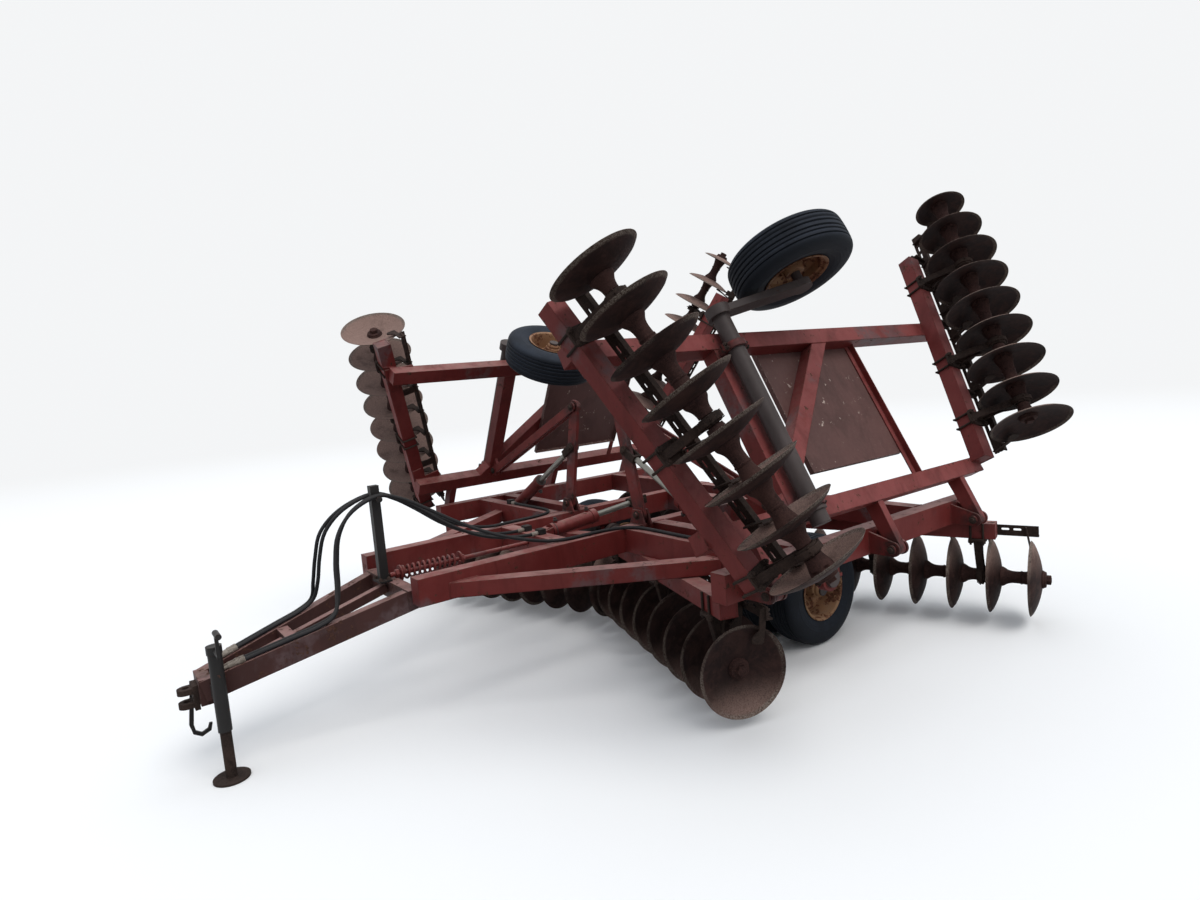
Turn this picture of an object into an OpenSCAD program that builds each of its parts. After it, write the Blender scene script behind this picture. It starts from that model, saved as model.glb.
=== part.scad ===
// Wing-fold tandem disc harrow, parked on its wheels and its hitch jack with
// both wings folded up past vertical. Millimetres, Z up, the hitch points to -Y
// and the machine's left side is +X. The ground is z = 0.

/* [Discs] */
// Diameter of a full-size blade, worn
blade_dia = 480; // [400:5:560]
// Distance between blades along a gang
blade_pitch = 228.6; // [180:0.1:270]
// Thickness of a blade
blade_t = 6; // [4:0.5:10]
// Radius of the sphere that a blade is pressed from
blade_sphere = 520; // [400:10:800]
// Diameter of the outermost rear blade
end_blade_dia = 346; // [300:2:480]
// Diameter of the second rear blade
next_blade_dia = 432; // [300:2:480]
// Angle between a gang and the crosswise direction
gang_angle = 18; // [10:0.5:24]
// Blades in a front gang of the wing
wing_front_blades = 8; // [4:1:12]
// Blades in a rear gang of the wing
wing_rear_blades = 9; // [4:1:12]
// Blades in a front gang of the centre section
centre_front_blades = 8; // [4:1:12]
// Blades in a rear gang of the centre section
centre_rear_blades = 9; // [4:1:12]
// Height of every gang shaft
gang_z = 296; // [250:2:340]

/* [Frame] */
// Height of the wing hinge pins, the middle of the wing frame tubes
hinge_z = 720; // [680:5:800]
// Distance of the wing hinge pins from the middle
hinge_x = 1816; // [1600:2:2000]
// Angle by which a wing is folded up from level
fold = 119; // [90:1:122]
// Width of the frame tubes
tube_w = 100; // [80:2:130]
// Depth of the centre frame's tubes
tube_h = 150; // [100:5:200]
// Width and height of the gang beams
beam_w = 100; // [80:2:130]
// Wall of the tubes
wall = 8; // [5:1:12]
// Distance of the side rails from the middle
rail_x = 1620; // [1500:5:1700]
// Distance of the inner rails from the middle
inner_x = 400; // [300:5:500]
// Half the distance between the outermost front and rear blades, fore and aft
half_base = 1740; // [1600:5:1900]
// How far the middle between the gangs lies behind the middle of the length
mid_y = 763; // [600:1:900]

/* [Wheels] */
// Outside diameter of a tyre
tyre_dia = 700; // [680:5:780]
// Width of a tyre
tyre_w = 222; // [200:2:260]
// Diameter of the rim under the bead
rim_dia = 358; // [330:2:400]
// Outside diameter of the rockshafts
shaft_dia = 100; // [80:2:130]
// Length of a centre wheel arm between its two centres
arm_len = 500; // [450:5:560]
// Length of a wing's wheel arm between its two centres
wing_arm_len = 515; // [480:5:600]
// Place of the centre rockshaft, fore and aft
shaft_y = -450; // [-500:5:-400]
// Place of the wing rockshafts, fore and aft
wing_shaft_y = -720; // [-800:5:-660]
// Height of the rockshafts
shaft_z = 605; // [560:5:640]
// Place of the left centre arm, crosswise
arm_x = 1000; // [800:5:1200]
// Place of the wing arm, crosswise, with the wing level
wing_arm_x = 3325; // [3300:5:3360]
// Angle of the right wing's arm below level, as it has swung over on its own weight
loose_drop = -82; // [-90:1:30]

/* [Hitch] */
// Place of the hitch pin, fore and aft
hitch_y = -3400; // [-3600:10:-3000]
// Height of the hitch pin's hole
hitch_z = 394; // [340:2:440]
// Diameter of the hitch pin's hole
hitch_bore = 33; // [25:1:40]

/* [Clearances] */
// Gap round a turning shaft in its bearing
run_gap = 0.08; // [0.01:0.01:0.1]
// Gap between moving plates
side_gap = 8; // [5:1:15]

/* [Smoothness] */
// Steps round a circle
fine = 48; // [24:4:96]

/* [Hidden] */
part_name = "disc harrow";
$fn = fine;
dish = blade_sphere - sqrt(pow(blade_sphere, 2) - pow(blade_dia / 2, 2));
lane = blade_pitch * cos(gang_angle);
step_y = blade_pitch * sin(gang_angle);
// Outermost blades of the front and rear wing gangs, with the wing level
front_x1 = hinge_x + 1566;
rear_x1 = hinge_x + 2145;
beam_z = hinge_z - beam_w / 2 - tube_w / 2;
frame_low = hinge_z - tube_w / 2;
frame_z = frame_low + tube_h / 2;
beam_front = 45;
beam_rear = 90;
journal_r = 30;
house_r = 64;
house_w = 44;
bell_r = 60;
foot_r = 50;
bore_shaft = shaft_dia / 2;
axle_z = tyre_dia / 2;
arm_drop = asin((shaft_z - axle_z) / arm_len);
wing_drop = asin((shaft_z - axle_z) / wing_arm_len);
wing_in_x = hinge_x + 325;
wing_out_x = hinge_x + 1370;
lever_x = 410;
lever_z = 880;
lever_y = -760;
lever_lean = 12.7;
lever_len = 730;
lever_mid = 430;
lug_s = 440;
lug_n = 98;
cyl_x = 1290;
cyl_z = 735;
// Which sub-part to draw

red = [0.45, 0.13, 0.11];
rust = [0.36, 0.22, 0.16];
dark = [0.15, 0.14, 0.14];
steel = [0.7, 0.7, 0.7];
rubber = [0.1, 0.11, 0.13];
cream = [0.7, 0.6, 0.45];

// Placing

// Puts the origin on the ground under the middle of the machine's length
module placed() {
    translate([0, mid_y, 0]) children();
}

// Folds a wing drawn level about its hinge line
module folded() {
    translate([hinge_x, 0, hinge_z]) rotate([0, -fold, 0])
        translate([-hinge_x, 0, -hinge_z]) children();
}

// Draws the right-hand twin of a left-hand piece
module right() {
    mirror([1, 0, 0]) children();
}

// Stands at the rim of a gang's outer blade, with x outward along the shaft
module at_front(x1) {
    translate([x1, -half_base + (front_x1 - x1) * tan(gang_angle), gang_z])
        rotate([0, 0, -gang_angle]) children();
}

module at_rear(x1) {
    translate([x1, half_base - (rear_x1 - x1) * tan(gang_angle), gang_z])
        rotate([0, 0, gang_angle]) children();
}

// Turns a shape round z to one round x
module lie() {
    rotate([0, 90, 0]) children();
}

// A cylinder along x, y or z from its start
module cyl_x(p, r, l) {
    translate(p) rotate([0, 90, 0]) cylinder(r = r, h = l);
}

module cyl_y(p, r, l) {
    translate(p) rotate([-90, 0, 0]) cylinder(r = r, h = l);
}

// Open rectangular tube along x, y from its start, by the middle of its section
module tube_x(p, l, w, h) {
    translate(p) difference() {
        translate([0, -w / 2, -h / 2]) cube([l, w, h]);
        translate([-1, -w / 2 + wall, -h / 2 + wall])
            cube([l + 2, w - 2 * wall, h - 2 * wall]);
    }
}

// Gangs

// Depth of a blade's hollow face below its rim plane's hub, at a radius
function bowl(r) = blade_sphere - sqrt(pow(blade_sphere, 2) - r * r);

// Radii from one to another in even steps
function radii(from, to) = [for (k = [0:6]) from + (to - from) * k / 6];

// Points on the hollow face and on the back of a blade whose hub is at height h
function hollow(h, out, r) = [r, h + out * bowl(r)];
function back(h, out, r) = [r, h + out * (bowl(r) - blade_t)];

// Outline of one blade, from the spool below it round its ground edge to the next
function blade_line(h, d, out) = out > 0
    ? concat([for (r = radii(bell_r, d / 2 - 5)) back(h, out, r)],
        [for (r = radii(d / 2, foot_r)) hollow(h, out, r)])
    : concat([for (r = radii(foot_r, d / 2)) hollow(h, out, r)],
        [for (r = radii(d / 2 - 5, bell_r)) back(h, out, r)]);

// A spool's outline from its foot on a hollow face up to its bell behind the next
// blade: a waist with a raised seam, or a journal for a bearing
function spool_half(bearing) = concat([[foot_r, 30], [42, 58]],
    bearing ? [[40, 86], [journal_r, 86], [journal_r, 142.6], [40, 142.6]]
        : [[39, 90], [39, 108], [43, 110], [43, 119], [39, 121]],
    [[39, 162], [44, 188], [54, 200], [bell_r, 207]]);

// The same above a hub at height h, turned over when the hollow faces look inward
function spool_line(h, bearing, out) = let(half = spool_half(bearing), n = len(half) - 1)
    [for (k = [0:n]) out > 0 ? half[k] + [0, h]
        : [half[n - k][0], h + blade_pitch - half[n - k][1]]];

// Washer and nut of the gang bolt under the innermost and over the outermost blade
function inner_end(h, out) = concat([[0, h - 48], [27, h - 48], [27, h - 28]],
    out > 0 ? [[50, h - 28], [bell_r, h - 16]] : [[foot_r, h - 28]]);
function outer_end(h, out) = concat(
    out > 0 ? [[foot_r, h + 28]] : [[bell_r, h + 16], [50, h + 28]],
    [[27, h + 28], [27, h + 53], [0, h + 53]]);

// A whole gang, blades, spools and bolt, hung from its outer blade's rim.
// The concave sides face outward when out is 1 and inward when it is -1
module gang(count, bearings, out, d1, d2) {
    hub = [for (i = [0:count - 1]) -i * blade_pitch - out * dish];
    dia = [for (i = [0:count - 1]) i == 0 ? d1 : (i == 1 ? d2 : blade_dia)];
    lie() rotate_extrude() polygon(concat(inner_end(hub[count - 1], out),
        [for (i = [count - 1:-1:0]) for (w = concat(blade_line(hub[i], dia[i], out),
            i > 0 ? spool_line(hub[i], len(search(i - 1, bearings)) > 0, out) : [])) w],
        outer_end(hub[0], out)));
}

// Where the bearing after blade i sits along the gang
function bearing_at(i, out) = -(i + 0.5) * blade_pitch - out * dish;

front_bearings = [0, 3, 6];
wing_rear_bearings = [2, 5, 7];
centre_rear_bearings = [1, 4, 7];
// Scraper posts, counted in blade spaces from the outer end
front_posts = [1.9, 5.1];
wing_rear_posts = [0.9, 3.6, 6.2];
centre_rear_posts = [2.5, 5.6];

// Cast hangers from the beam to the bearings of one gang
// low names the bearings whose clamp ends under a frame tube
module hangers(bearings, out, off, low = []) {
    rise = beam_z - gang_z;
    for (i = bearings) translate([bearing_at(i, out), 0, 0]) {
        difference() {
            union() {
                cyl_x([-house_w / 2, 0, 0], 52, house_w);
                cyl_x([-14, 0, 0], house_r, 28);
                hanger_web(off, rise);
            }
            cyl_x([-house_w / 2 - 1, 0, 0], journal_r + run_gap, house_w + 2);
            for (s = [-1, 1]) translate([s * 22, 0, 0]) hanger_pocket(off, rise);
        }
        hanger_clamp(off, rise, len(search(i, low)) > 0 ? 0 : 14);
    }
}

// Outline of a hanger's arm between two shares of its height: it bows forward, is
// slimmest in the middle and is taken in by a border
function arm_line(off, top, from, to, border) = let(n = 8,
    t = [for (k = [0:n]) from + (to - from) * k / n],
    c = [for (v = t) [-off * v - 20 * sin(180 * v), 30 + (top - 30) * v]],
    w = [for (v = t) 28 + 40 * pow(v - 0.42, 2) * (v > 0.42 ? 1.9 : 1.2) - border])
    concat([for (k = [0:n]) c[k] + [w[k], 0]], [for (k = [n:-1:0]) c[k] - [w[k], 0]]);

// Curved arm of a hanger between its housing and its clamp
module hanger_web(off, rise) {
    translate([-22, 0, 0]) rotate([90, 0, 90]) linear_extrude(44)
        polygon(arm_line(off, rise - beam_w / 2 - 10, 0, 1, 0));
}

// Hollow of one side of the arm, inside its raised border
module hanger_pocket(off, rise) {
    translate([-12, 0, 0]) rotate([90, 0, 90]) linear_extrude(24)
        polygon(arm_line(off, rise - beam_w / 2 - 10, 0.3, 0.9, 10));
}

// Saddle and U-bolts that clamp a hanger on its beam
module hanger_clamp(off, rise, up) {
    b = beam_w / 2;
    for (s = [-1, 1]) {
        for (y = [-off - b - 7, -off + b + 7]) {
            translate([s * 36, y, rise - b - 34]) cylinder(r = 7, h = 2 * b + 34 + up / 2);
            translate([s * 36, y, rise - b - 28]) cylinder(r = 13, h = 16);
        }
        if (up > 0) cyl_y([s * 36, -off - b - 14, rise + b + 7], 7, 2 * b + 28);
    }
    translate([0, -off, rise - b - 13]) linear_extrude(13) polygon([for (c = [[1, 1],
        [-1, 1], [-1, -1], [1, -1]]) for (k = [0, 1]) let(q = c[0] * c[1] > 0 ? k : 1 - k)
        [c[0] * (50 - 14 * q), c[1] * (b + 24 - 14 * (1 - q))]]);
}

// A gang's beam, seen in the gang's own placing, with a cap let into each end
module beam(from, to, off) {
    tube_x([-to, -off, beam_z - gang_z], to - from, beam_w, beam_w);
    for (x = [-to + 2, -from - 8])
        translate([x, -off - beam_w / 2 + 1, beam_z - gang_z - beam_w / 2 + 1])
            cube([6, beam_w - 2, beam_w - 2]);
}

// Slot in the scraper bar, lying along x
module slot(l, w) {
    square([l - w, w], center = true);
    for (s = [-1, 1]) translate([s * (l - w) / 2, 0]) circle(r = w / 2);
}

// Scraper bar with its slots, posts and scrapers
module scrapers(count, out, off, d1, d2, posts) {
    z = beam_z - gang_z - 30;
    y = 165 - off;
    len_in = (count - 1) * blade_pitch;
    translate([0, y + 10, z - 5]) rotate([90, 0, 0]) linear_extrude(10) difference() {
        translate([-len_in - 40, -35]) square([len_in + 80, 70]);
        for (i = [0:count - 2]) for (u = [0.35, 0.65])
            translate([-(i + u) * blade_pitch, 8]) slot(46, 15);
    }
    translate([-len_in - 40, y + 9, z - 40]) cube([len_in + 80, 26, 9]);
    for (i = [0:count - 1]) {
        r = (i == 0 ? d1 : (i == 1 ? d2 : blade_dia)) / 2;
        translate([-i * blade_pitch + out * 26, y, z]) rotate([0, out * 10, 0])
            scraper(z - r * 0.5);
    }
    for (i = posts) translate([-i * blade_pitch, 0, 0]) {
        translate([-25, -off + beam_w / 2, z + 10]) cube([50, y + off - beam_w / 2, 14]);
        plate_yz(-5, 10, [[-off + beam_w / 2, z - 26], [-off + beam_w / 2, z + 12],
            [y + 1, z + 12], [y + 1, z - 6]]);
    }
}

// One scraper: a strap bolted to the bar, reaching down by l, and its blade
module scraper(l) {
    translate([-4, 0, 0]) rotate([90, 0, 90]) linear_extrude(8) polygon([[-28, 24], [6, 24],
        [6, -l + 92], [2, -l + 60], [2, -l + 8], [-14, -l], [-62, -l + 12],
        [-70, -l + 34], [-66, -l + 46], [-28, -l + 78]]);
}

module centre_front() {
    at_front(front_x1 - wing_front_blades * lane) children();
}

module centre_rear() {
    at_rear(rear_x1 - wing_rear_blades * lane) children();
}

module gang_front_left() {
    color(rust) placed() centre_front() gang(centre_front_blades, front_bearings, 1, blade_dia, blade_dia);
}

module gang_front_right() {
    right() gang_front_left();
}

module gang_rear_left() {
    color(rust) placed() centre_rear() gang(centre_rear_blades, centre_rear_bearings, -1, blade_dia, blade_dia);
}

module gang_rear_right() {
    right() gang_rear_left();
}

module wing_gang_front_left() {
    color(rust) placed() folded() at_front(front_x1)
        gang(wing_front_blades, front_bearings, 1, blade_dia, blade_dia);
}

module wing_gang_front_right() {
    right() wing_gang_front_left();
}

module wing_gang_rear_left() {
    color(rust) placed() folded() at_rear(rear_x1)
        gang(wing_rear_blades, wing_rear_bearings, -1, end_blade_dia, next_blade_dia);
}

module wing_gang_rear_right() {
    right() wing_gang_rear_left();
}

// Beams, hangers and scrapers of the centre section

module front_beams() {
    color(red) placed() for (m = [0, 1]) mirror([m, 0, 0]) centre_front()
        beam(30, centre_front_blades * blade_pitch - 90, beam_front);
}

module rear_beams() {
    color(red) placed() for (m = [0, 1]) mirror([m, 0, 0]) centre_rear()
        beam(180, centre_rear_blades * blade_pitch - 120, beam_rear);
}

module centre_hangers() {
    color(dark) placed() for (m = [0, 1]) mirror([m, 0, 0]) {
        centre_front() hangers(front_bearings, 1, beam_front, front_bearings);
        centre_rear() hangers(centre_rear_bearings, -1, beam_rear, centre_rear_bearings);
    }
}

module centre_scrapers() {
    color(dark) placed() for (m = [0, 1]) mirror([m, 0, 0]) {
        centre_front() scrapers(centre_front_blades, 1, beam_front, blade_dia, blade_dia,
            front_posts);
        centre_rear() scrapers(centre_rear_blades, -1, beam_rear, blade_dia, blade_dia,
            centre_rear_posts);
    }
}

// Frame of the centre section

// A straight rectangular bar between two points, level across
module bar(p, q, w, h) {
    d = q - p;
    l = norm(d);
    translate(p) rotate([0, -asin(d[2] / l), atan2(d[1], d[0])])
        translate([0, -w / 2, -h / 2]) cube([l, w, h]);
}

// A level bar between two points in plan, from height z up by h
module plan_bar(p, q, w, z, h) {
    d = (q - p) / norm(q - p);
    n = [-d[1], d[0]] * w / 2;
    translate([0, 0, z]) linear_extrude(h) polygon([p + n, q + n, q - n, p - n]);
}

// Plate across y with its outline in x and z
module plate_xz(y, t, pts) {
    translate([0, y + t, 0]) rotate([90, 0, 0]) linear_extrude(t) polygon(pts);
}

// Plate across x with its outline in y and z
module plate_yz(x, t, pts) {
    translate([x, 0, 0]) rotate([90, 0, 90]) linear_extrude(t) polygon(pts);
}

hinge_ys = [-1120, -80, 820];
hinge_pin = 16;
bush_w = 50;

// Fixed half of the wing hinges on the left rail
module rail_lugs() {
    for (y = hinge_ys) {
        for (s = [-1, 1]) difference() {
            union() {
                plate_xz(y + s * (bush_w / 2 + side_gap + 7) - 7, 14,
                    [[rail_x + 40, 676], [hinge_x, hinge_z - 42], [hinge_x, hinge_z + 42],
                    [rail_x + 40, 806]]);
                cyl_y([hinge_x, y + s * (bush_w / 2 + side_gap + 7) - 7, hinge_z], 42, 14);
            }
            cyl_y([hinge_x, y - 100, hinge_z], hinge_pin, 200);
        }
        cyl_y([hinge_x, y - 54, hinge_z], hinge_pin, 108);
        cyl_y([hinge_x, y - 62, hinge_z], 26, 10);
        cyl_y([hinge_x, y + 52, hinge_z], 26, 10);
    }
}

cross_front = -880;
cross_back = -640;

// Left half of the centre frame
module half_frame() {
    translate([rail_x - tube_w / 2, -1290, frame_low]) cube([tube_w, 2300, tube_h]);
    translate([inner_x - tube_w / 2, -2330, frame_low]) cube([tube_w, 2960, tube_h]);
    translate([0, 560 - tube_w / 2, frame_low]) cube([rail_x, tube_w, tube_h]);
    for (y = [-1340, 200])
        translate([0, y - tube_w / 2, frame_low]) cube([inner_x, tube_w, tube_h]);
    intersection() {
        plan_bar([294, -2293], [1376, -725], tube_w, frame_low + 6, 84);
        translate([inner_x, -2300, frame_low]) cube([rail_x - inner_x,
            2300 + cross_front - tube_w / 2, tube_h]);
    }
    rail_lugs();
    for (s = [-1, 1]) {
        plate_xz(lever_y + s * (12 + side_gap + 7) - 7, 14,
            [[lever_x - 75, frame_low + tube_h - 1], [lever_x + 75, frame_low + tube_h - 1],
            [lever_x + 40, lever_z + 35], [lever_x - 40, lever_z + 35]]);
    }
    cyl_y([lever_x, lever_y - 50, lever_z], 18, 100);
    difference() {
        for (x = [inner_x, rail_x]) {
            translate([x - 25, shaft_y - 75, shaft_z]) cube([50, 150, frame_low - shaft_z + 1]);
            cyl_x([x - 25, shaft_y, shaft_z], 75, 50);
            translate([x - 25, shaft_y - 98, shaft_z - 10]) cube([50, 196, 20]);
        }
        cyl_x([0, shaft_y, shaft_z], bore_shaft + run_gap, 2000);
    }
}

// Pairs of cross tubes with the pin of a fold cylinder between them
module cross_tubes() {
    in = inner_x + tube_w / 2;
    color(red) placed() for (m = [0, 1]) mirror([m, 0, 0]) {
        for (y = [cross_front, cross_back]) translate([in, y - tube_w / 2, frame_low])
            cube([rail_x - tube_w / 2 - in, tube_w, tube_h]);
        cyl_y([cyl_x, cross_front, cyl_z], 20, cross_back - cross_front);
        for (y = [cross_front + tube_w / 2 - 1, cross_back - tube_w / 2 - 13])
            cyl_y([cyl_x, y, cyl_z], 34, 14);
    }
}

module frame() {
    color(red) placed() {
        for (m = [0, 1]) mirror([m, 0, 0]) half_frame();
        for (x = [-48, 34]) plate_yz(x, 14,
            [[-1295, 700], [-1212, 765], [-1212, 836], [-1295, 815]]);
        cyl_x([-48, -1235, 800], 18, 96);
    }
}

// Hitch

// One of the two rails that meet at the hitch
module tongue_rail(s) {
    bar([s * 300, -2290, 690], [s * 70, -3330, 430], 70, 110);
}

module tongue() {
    color(red) placed() {
        for (s = [-1, 1]) tongue_rail(s);
        translate([-340, -2345, 640]) cube([680, 70, 100]);
        bar([-170, -2900, 545], [170, -2900, 545], 60, 80);
        bar([0, -2350, 700], [0, -3290, 440], 50, 50);
        translate([-95, -3350, 360]) cube([190, 60, 130]);
    }
}

module hitch_clevis() {
    color(dark) placed() difference() {
        union() {
            translate([-50, -3374, hitch_z - 62]) cube([100, 24, 124]);
            for (z = [hitch_z - 49, hitch_z + 21]) {
                translate([-40, hitch_y, z]) cube([80, -3350 - hitch_y, 28]);
                translate([0, hitch_y, z]) cylinder(r = 40, h = 28);
            }
        }
        translate([0, hitch_y, 300]) cylinder(r = hitch_bore / 2, h = 200);
    }
}

module safety_hook() {
    color(dark) placed() {
        plate_yz(-101, 16, [[-3350.2, 440], [-3372, 440], [-3376, 395], [-3400, 215],
            [-3388, 165], [-3350, 140], [-3306, 158], [-3296, 196], [-3310, 198],
            [-3320, 172], [-3348, 160], [-3374, 178], [-3380, 214], [-3358, 392]]);
    }
}

jack_x = 190;
jack_y = -3275;

module jack_tube() {
    color(dark) placed() {
        difference() {
            translate([jack_x, jack_y, 245]) cylinder(r = 32, h = 395);
            translate([jack_x, jack_y, 225]) cylinder(r = 26 + run_gap, h = 375);
        }
        translate([jack_x, jack_y, 635]) cylinder(r = 36, h = 40);
        translate([0, 0, 400]) linear_extrude(70) polygon([[111.8, jack_y - 30],
            [162, jack_y - 30], [162, jack_y + 30], [125, jack_y + 30]]);
        cyl_x([jack_x + 20, jack_y, 656], 9, 120);
        translate([jack_x + 128, jack_y - 8, 656 - 8]) cube([16, 16, 130]);
        cyl_x([jack_x + 130, jack_y, 772], 14, 90);
    }
}

module jack_leg() {
    color(steel) placed() {
        translate([jack_x, jack_y, 5]) cylinder(r = 26, h = 355);
        translate([jack_x, jack_y, 0]) cylinder(r = 85, h = 10);
    }
}

module hose_post() {
    color(dark) placed() {
        translate([-25, -2381, 745]) cube([50, 50, 550]);
        translate([-60, -2400, 740.2]) cube([120, 75, 12]);
        cyl_x([-84, -2356, hook_z], 6, 168);
        for (x = [-88, 82]) cyl_x([x, -2356, hook_z], 17, 6);
    }
}

// Hoses

hook_z = 1222;
hose_r = 10.5;

// One step of a smooth curve through the points b and c
function smooth(a, b, c, d, t) = 0.5 * (2 * b + (c - a) * t
    + (2 * a - 5 * b + 4 * c - d) * t * t + (3 * b - a - 3 * c + d) * t * t * t);

// A smooth path through the given points, with a number of steps between each two
function path(p, steps) = let(n = len(p) - 1) concat(
    [for (i = [0:n - 1]) for (k = [0:steps - 1])
        smooth(p[max(i - 1, 0)], p[i], p[i + 1], p[min(i + 2, n)], k / steps)], [p[n]]);

// A round hose along a path that never runs towards [1, -1, 0]
module hose(points) {
    q = path(points, 3);
    n = len(q) - 1;
    sides = 8;
    rings = [for (i = [0:n]) let(t = q[min(i + 1, n)] - q[max(i - 1, 0)],
        u = cross(t, [1, -1, 0]), v = cross(t, u))
        [for (k = [0:sides - 1]) let(a = k / sides * 360)
            q[i] + hose_r * (cos(a) * u / norm(u) + sin(a) * v / norm(v))]];
    polyhedron(points = [for (g = rings) for (w = g) w],
        faces = concat([[for (k = [sides - 1:-1:0]) k]],
            [for (i = [0:n - 1]) for (k = [0:sides - 1])
                [i * sides + k, i * sides + (k + 1) % sides,
                (i + 1) * sides + (k + 1) % sides, (i + 1) * sides + k]],
            [[for (k = [0:sides - 1]) n * sides + k]]));
}

// Height of a hose's middle where it lies on a tongue rail
function on_rail(y) = 690 + (y + 2290) / 4 + 57 + hose_r + 3;

// Crosswise place of the middle of a tongue rail
function rail_mid(y) = 70 + (y + 3330) * 230 / 1040;

// First stretch, from the tip on the tongue up to the hook on the post
function rise(side, hook_x, bulge) = concat(
    [for (y = [-3180, -3040, -2910, -2790])
        [rail_mid(y) + side * 16, y, on_rail(y)]],
    [[rail_mid(-2700) + side * 12 - 10, -2696 - bulge * 0.3, 682],
    [150 + side * 14, -2648 - bulge, 790], [118 + side * 12, -2630 - bulge, 930],
    [hook_x + 38, -2592 - bulge, 1070], [hook_x + 14, -2504 - bulge / 2, 1180],
    [hook_x, -2356, hook_z + 6 + hose_r + 1]]);

top_z = frame_low + tube_h + hose_r + 1;

module hose_to_block(bulge) {
    hose(concat(rise(-1, 37, bulge), [[42, -2230, 1196], [52, -2100, 1110],
        [62, -1970, 1012], [70, -1830, 928], [78, -1690, 872], [84, -1540, 842],
        [88, -1430, top_z], [88, -1361.2, top_z]]));
}

module hose_to_cylinder(bulge) {
    hose(concat(rise(1, 66, bulge), [[76, -2226, 1204], [100, -2100, 1130],
        [142, -1970, 1045], [196, -1840, 968], [254, -1710, 908], [312, -1580, 866],
        [366, -1450, 838], [398, -1320, top_z], [402, -1190, top_z],
        [410, -1060, top_z], [448, -948, top_z], [540, -888, top_z],
        [670, -878, top_z], [810, -880, top_z], [950, -882, top_z],
        [1082.8, -880, top_z]]));
}

module hose_a() {
    color(rubber) placed() hose_to_block(0);
}

module hose_b() {
    color(rubber) placed() right() hose_to_block(34);
}

module hose_c() {
    color(rubber) placed() hose_to_cylinder(18);
}

module hose_d() {
    color(rubber) placed() right() hose_to_cylinder(52);
}

// Blocks that the hoses are screwed into
module hose_blocks() {
    color(dark) placed() for (m = [0, 1]) mirror([m, 0, 0]) {
        translate([60, -1361, frame_low + tube_h]) cube([56, 48, 36]);
        translate([1083, -902, frame_low + tube_h]) cube([52, 44, 36]);
    }
}

// Coupler tips of the hoses, laid on the tongue
module hose_tips() {
    color(steel) placed() for (m = [0, 1]) mirror([m, 0, 0]) for (s = [-1, 1])
        translate([rail_mid(-3180.3) + s * 16, -3180.3, on_rail(-3180.3)])
            rotate([atan2(-1, 4), 0, 180 - atan(230 / 1040)]) {
                cyl_y([0, 0, 0], 12, 34);
                cyl_y([0, 33, 0], 9, 42);
            }
}

// A coil of round wire along y
module coil(p, r, w, pitch, turns) {
    seg = 12;
    sides = 6;
    rings = [for (i = [0:turns * seg]) let(t = i / seg * 360,
        c = [r * cos(t), pitch * i / seg, r * sin(t)], u = [cos(t), 0, sin(t)])
        [for (k = [0:sides - 1]) let(a = k / sides * 360)
            p + c + w * cos(a) * u + [0, w * sin(a), 0]]];
    n = len(rings);
    polyhedron(points = [for (g = rings) for (q = g) q],
        faces = concat([[for (k = [0:sides - 1]) k]],
            [for (i = [0:n - 2]) for (k = [0:sides - 1])
                [i * sides + k, (i + 1) * sides + k, (i + 1) * sides + (k + 1) % sides,
                i * sides + (k + 1) % sides]],
            [[for (k = [sides - 1:-1:0]) (n - 1) * sides + k]]));
}

module level_rod() {
    color(red) placed() {
        cyl_y([0, -2318, 762], 14, 928);
        cyl_y([0, -2262, 762], 48, 12);
        cyl_y([0, -1882, 762], 48, 12);
        coil([0, -2244, 762], 36, 7, 32, 11);
    }
}

// Lift cylinder and centre rockshaft

lift_base = [0, -1235, 800];
crank_top = [0, -420, 885];
crank_yz = [-420, 885];

module lift_barrel() {
    color(red) placed() along_yz(lift_base, crank_top) {
        difference() {
            cyl_x([-32, 0, 0], 34, 64);
            cyl_x([-40, 0, 0], 18 + run_gap, 80);
        }
        difference() {
            union() {
                cyl_y([0, 30, 0], 45, 370);
                cyl_y([0, 30, 0], 49, 22);
                cyl_y([0, 358, 0], 50, 42);
                for (y = [78, 338]) translate([0, y, 0]) cylinder(r = 13, h = 62);
            }
            cyl_y([0, 60, 0], 36, 320);
            cyl_y([0, 300, 0], 20 + run_gap, 200);
        }
    }
}

module lift_rod() {
    color(steel) placed() along_yz(lift_base, crank_top) {
        l = norm(crank_top - lift_base);
        cyl_y([0, 330, 0], 20, l - 330 - 100);
        cyl_y([0, 300, 0], 35, 32);
        for (x = [-34, 20]) difference() {
            translate([x, l - 100, -30]) cube([14, 130, 60]);
            cyl_x([x - 1, l, 0], 19, 16);
        }
        translate([-34, l - 110, -30]) cube([68, 20, 60]);
    }
}

// Puts +y of its children along the line from p to q, which lies across x
module along_yz(p, q) {
    translate(p) rotate([atan2(q[2] - p[2], q[1] - p[1]), 0, 0]) children();
}

// Wheel arm, its boss on the shaft and its spindle
module arm(x, y, l, drop, stubs) {
    translate([0, y, shaft_z]) rotate([-drop, 0, 0]) {
        translate([x - 22, -10, -46]) cube([44, l + 10, 92]);
        cyl_x([x - 30, 0, 0], 72, 60);
        cyl_x([x - 22, l, 0], 56, 44);
        for (s = stubs) cyl_x([s > 0 ? x : x - 262, l, 0], 28, 262);
        for (s = stubs) cyl_x([s > 0 ? x + 250 : x - 262, l, 0], 34, 12);
    }
}

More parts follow.
